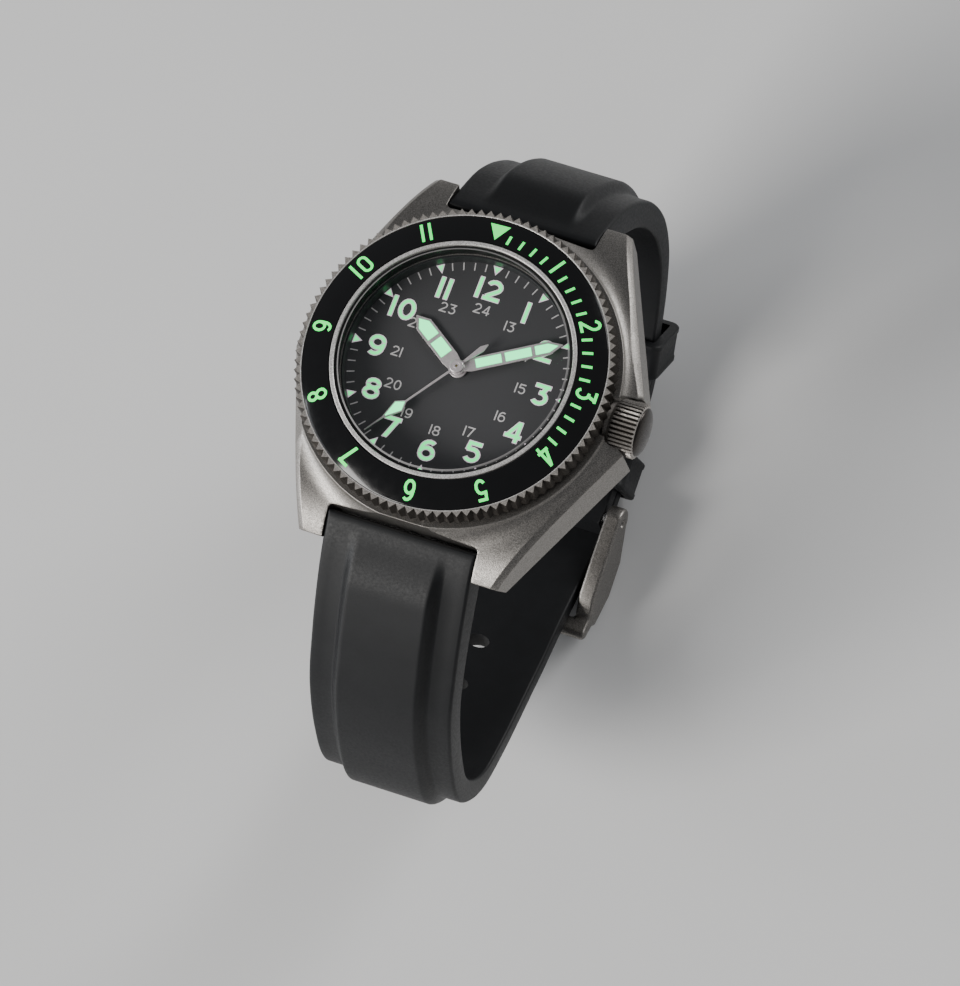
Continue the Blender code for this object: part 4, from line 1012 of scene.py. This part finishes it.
def strap_section(half, depth, rise):
    """Half the section from the middle of the band to the middle of the underside."""
    band, shoulder, edge, under = 5.4, 1.5, 0.45, 0.35
    points = [(0.0, rise), (band * 0.5, rise), (band - 0.5, rise)]
    points += [(band - 0.25 + shoulder * t, rise * (1 - smoothstep(t, 0, 1)))
               for t in np.linspace(0, 1, 9)]
    points += [(half - edge - 0.9, 0.0), (half - edge, 0.0)]
    points += [(half - edge + edge * math.sin(a), -edge + edge * math.cos(a))
               for a in np.linspace(0.3, math.pi / 2, 5)]
    points += [(half, -0.5 * depth)]
    points += [(half - under + under * math.cos(a), -depth + under - under * math.sin(a))
               for a in np.linspace(0, math.pi / 2, 5)]
    return [*points, (half * 0.6, -depth), (0.0, -depth)]


def strap_levels(line, thickness, direction, band_end, tip=None):
    """Sections along a strap. A tip is the length over which its free end narrows."""
    points, even_runs, normals = skin(line, direction, 0.8)
    runs = np.array([0, 0.05, 0.15, 0.32, 0.55, *even_runs[1:]])
    points, normals = (np.stack([np.interp(runs, even_runs, column) for column in rows.T], 1)
                       for rows in (points, normals))
    edge_drop, edge_run = 1.4, 1.3  # the rounded top edge at the case
    drops = edge_drop * (1 - np.sqrt(1 - (1 - np.clip(runs / edge_run, 0, 1)) ** 2))
    upright = 1 - smoothstep(runs, 0, 7)[:, None]
    normals = unit(normals * (1 - upright) + np.array([0, 1]) * upright)
    depths = np.interp(runs, *zip(*thickness))
    halves = np.interp(runs, (8, 72), (9.9, 9.0))
    fade = smoothstep(runs, 2.0, 9.0) * (1 - smoothstep(runs, band_end - 12, band_end))
    if tip:
        left = np.clip((runs[-1] - runs) / tip, 0, 1)
        halves = halves * (0.55 + 0.45 * np.sqrt(1 - (1 - left) ** 2))
    levels = []
    for point, normal, depth, half, rise, drop in zip(points, normals, depths, halves,
                                                      BAND_RISE * fade, drops):
        right = [(x, min(up, -drop) if drop else up)
                 for x, up in strap_section(half, depth, rise + 0.01)]
        section = right + [(-x, up) for x, up in right[-2:0:-1]]
        levels.append([(x, *(point + normal * up)) for x, up in section])
    return levels


def make_straps():
    tail = [above_short_strap(run, TAIL_THICK + 0.15)[:2] for run in np.linspace(*TAIL_RUNS, 6)]
    thick_6 = [(0, 6.3), (6, 4.4), (20, 3.6), (45, 3.2), (75, 2.5), (120, 2.4)]
    levels = strap_levels([*STRAP_6_LINE, *tail], thick_6, 1, band_end=64, tip=7)
    long = make_object("strap_long", loft(levels), RUBBER, 50)
    hole = [(1.5 * math.cos(a), math.sin(a)) for a in np.arange(32) * TAU / 32]
    tools = [across_hole("eye", -SPRING_BAR_Y, SPRING_BAR_Z, EYE_R),
             make_object("tang_hole", box((-1.6, -4.9, -53), (1.6, 2.2, -44)))]
    for y, z, slope in ((-19.5, -44, 20), (-26.2, -41.6, 22)):
        turn = Matrix.Translation((0, y, z)) @ Matrix.Rotation(-math.radians(slope), 4, "X")
        tools.append(make_object("hole", moved(prism(hole, -6, 6), turn)))
    boolean(long, "DIFFERENCE", *tools)
    piece(long, "case", "strap_rubber", "strap_6_long")

    thick_12 = [(0, 6.3), (6, 4.4), (20, 3.6), (45, 3.0), (66, 2.6), (82, 2.8), (87, 3.4)]
    levels = strap_levels(STRAP_12_LINE, thick_12, -1, band_end=50)
    short = make_object("strap_short", loft(levels), RUBBER, 50)
    boolean(short, "DIFFERENCE", across_hole("eye", SPRING_BAR_Y, SPRING_BAR_Z, EYE_R),
            across_hole("eye", PIN_Y, PIN_Z, EYE_R),
            make_object("notch", box((-1.6, -2, -52), (1.6, 4.9, -42))))
    piece(short, "case", "strap_rubber", "strap_12_short")


def make_keepers():
    """Rubber loops with rounded corners and a shallow groove along the outside."""
    half_in, up, down, wall, end = 9.35, 3.2, 2.95, 1.2, 2.5

    def ring(along, grow, radius):
        x, low, high = half_in + grow, -down - grow, up + grow
        corners = ((x - radius, high - radius, 0), (-x + radius, high - radius, 90),
                   (-x + radius, low + radius, 180), (x - radius, low + radius, 270))
        return [(*point, along) for cx, cy, a in corners
                for point in arc(radius, a, a + 90, 7, (cx, cy))]

    edge = [(0, 0.18), (0.18, 0.0), (0.7, 0.0), (0.85, 0.12)]  # run from an end, and set-in
    rows = [(-end + run, less) for run, less in edge]
    rows += [(end - run, less) for run, less in edge[::-1]]
    levels = [ring(along, wall - less, 1.3 - less) for along, less in rows]
    levels += [ring(along, 0, 0.2) for along in (end, -end)]
    stand = Matrix.Rotation(math.pi / 2, 4, "X")
    for name, cad, body, run in (("keeper_at_buckle", "keeper_fixed", "case", 74.6),
                                 ("keeper_loose", "keeper_free", "keeper_free", 57.4)):
        y, z, slope = above_short_strap(run, 0)
        place = Matrix.Translation((0, y, z)) @ Matrix.Rotation(slope, 4, "X")
        keeper = make_object(name, moved(closed_loft(levels), stand, place), RUBBER, 40)
        piece(keeper, body, "strap_rubber", cad)


def make_buckle():
    pin = (PIN_Y, PIN_Z)
    side = [*arc(2.0, -75, 95, 24, pin), (-4.0, -45.1), (-8.6, -46.0), (-10.9, -48.0),
            (-13.1, -47.5), (-13.9, -48.1), (-13.3, -49.1), (-11.2, -50.0), (-10.8, -51.2),
            (-6.0, -52.9), (-1.2, -52.1)]
    ring = make_object("buckle_ring", side_prism(side, 11.7), CASE_METAL)
    boolean(ring, "DIFFERENCE",
            make_object("opening", box((-9.5, -11.1, -56), (9.5, 8, -40))),
            across_hole("bar_hole", *pin, 0.5))
    soften(ring, 0.4, 3)
    piece(ring, "case", "case_metal", "buckle_frame")
    side = [*arc(1.5, -120, 170, 24, pin), (0.2, -47.4), (-1.4, -49.0), (-3.4, -50.2),
            (-8.0, -50.5), (-11.2, -50.3), (-13.6, -49.35), (-14.2, -49.7), (-13.7, -50.5),
            (-11.0, -51.4), (-8.0, -51.7), (-3.6, -51.6), (-0.9, -50.2)]
    tang = make_object("tang_blade", side_prism(side, 1.2), CASE_METAL)
    boolean(tang, "DIFFERENCE", across_hole("bore", *pin, 0.81))
    soften(tang, 0.25, 3)
    piece(tang, "tang", "case_metal", "buckle_tang")


def make_back():
    """A screwed back with six notches and turned rings."""
    grooves = []
    for r in (11.9, 12.6):
        grooves += [(r - 0.18, 0.0), (r - 0.1, 0.07), (r + 0.1, 0.07), (r + 0.18, 0.0)]
    back = make_object("back_plate", turned([
        (0, 0), *grooves, (16.6, 0), (17.05, 0.15), (17.2, 0.5), (17.2, 1.9), (16.15, 1.9),
        (16.15, 1.45), (15.3, 1.45), (15.3, 1.9), (14.85, 1.9), (14.85, 3.2), (13.4, 3.2),
        (13.4, 1.2), (0, 1.2)]), CASE_METAL)
    tools = [make_object("notch", moved(box((15.9, -1.1, -1), (18.2, 1.1, 0.9)),
                                        Matrix.Rotation(k * TAU / 6, 4, "Z")))
             for k in range(6)]
    boolean(back, "DIFFERENCE", *tools)
    soften(back, 0.08)
    piece(back, "case", "case_metal", "case_back")


make_case()
make_bezel()
make_glass()
make_dial()
make_hands()
make_crown()
make_straps()
make_keepers()
make_buckle()
make_back()


# ---- floor, lights and camera ----

WATCH_MIDDLE = Vector((0, -0.005, -0.01))
CAMERA_PLACE = (0.2683, -0.2515, 0.9199)
CAMERA_TURN = Vector((2.79306, 0.47215, -0.32581))  # from the row frame to Z ahead, Y down


def make_floor():
    made = bmesh.new()
    bmesh.ops.create_grid(made, x_segments=1, y_segments=1, size=2000)
    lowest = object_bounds()[0].z
    floor = make_object("floor", made)
    floor.location.z = lowest
    look = Shader("floor_paper", (0.72, 0.72, 0.72), 0.8)
    look.vary_colour(look.noise(0.02, 2.0), 0.98, 1.02)
    floor.data.materials.append(look.made)


def area_light(name, place, size, watts, colour=(1, 1, 1)):
    """A soft light that faces the watch."""
    data = bpy.data.lights.new(name, "AREA")
    data.shape = "RECTANGLE"
    data.size, data.size_y = size
    data.energy, data.color = watts, colour
    lamp = add_object(name, data)
    lamp.location = place
    aim = WATCH_MIDDLE - Vector(place)
    lamp.rotation_mode = "QUATERNION"
    lamp.rotation_quaternion = aim.to_track_quat("-Z", "Y")


def make_camera():
    """A long lens, so that the watch shows little perspective."""
    data = bpy.data.cameras.new("camera")
    data.sensor_width, data.lens = 36, 290.1
    data.clip_start, data.clip_end = 0.05, 20
    camera = add_object("camera", data)
    turn = Matrix.Rotation(CAMERA_TURN.length, 3, CAMERA_TURN.normalized())
    camera.matrix_world = (Matrix.Translation(CAMERA_PLACE)
                           @ (turn.transposed() @ Matrix.Diagonal((1, -1, -1))).to_4x4())
    bpy.context.scene.camera = camera


make_camera()
make_floor()
world = bpy.data.worlds.new("studio")
world.use_nodes = True
background = world.node_tree.nodes["Background"]
background.inputs["Color"].default_value = (0.8, 0.82, 0.85, 1)
background.inputs["Strength"].default_value = 0.25
bpy.context.scene.world = world
area_light("key", (-0.55, -0.75, 0.60), (0.55, 0.40), 13, (1.0, 0.98, 0.95))
area_light("side", (-0.90, -0.35, 0.25), (0.40, 0.50), 5, (0.95, 0.97, 1.0))
area_light("rim", (0.55, 0.85, 0.35), (0.35, 0.50), 6)
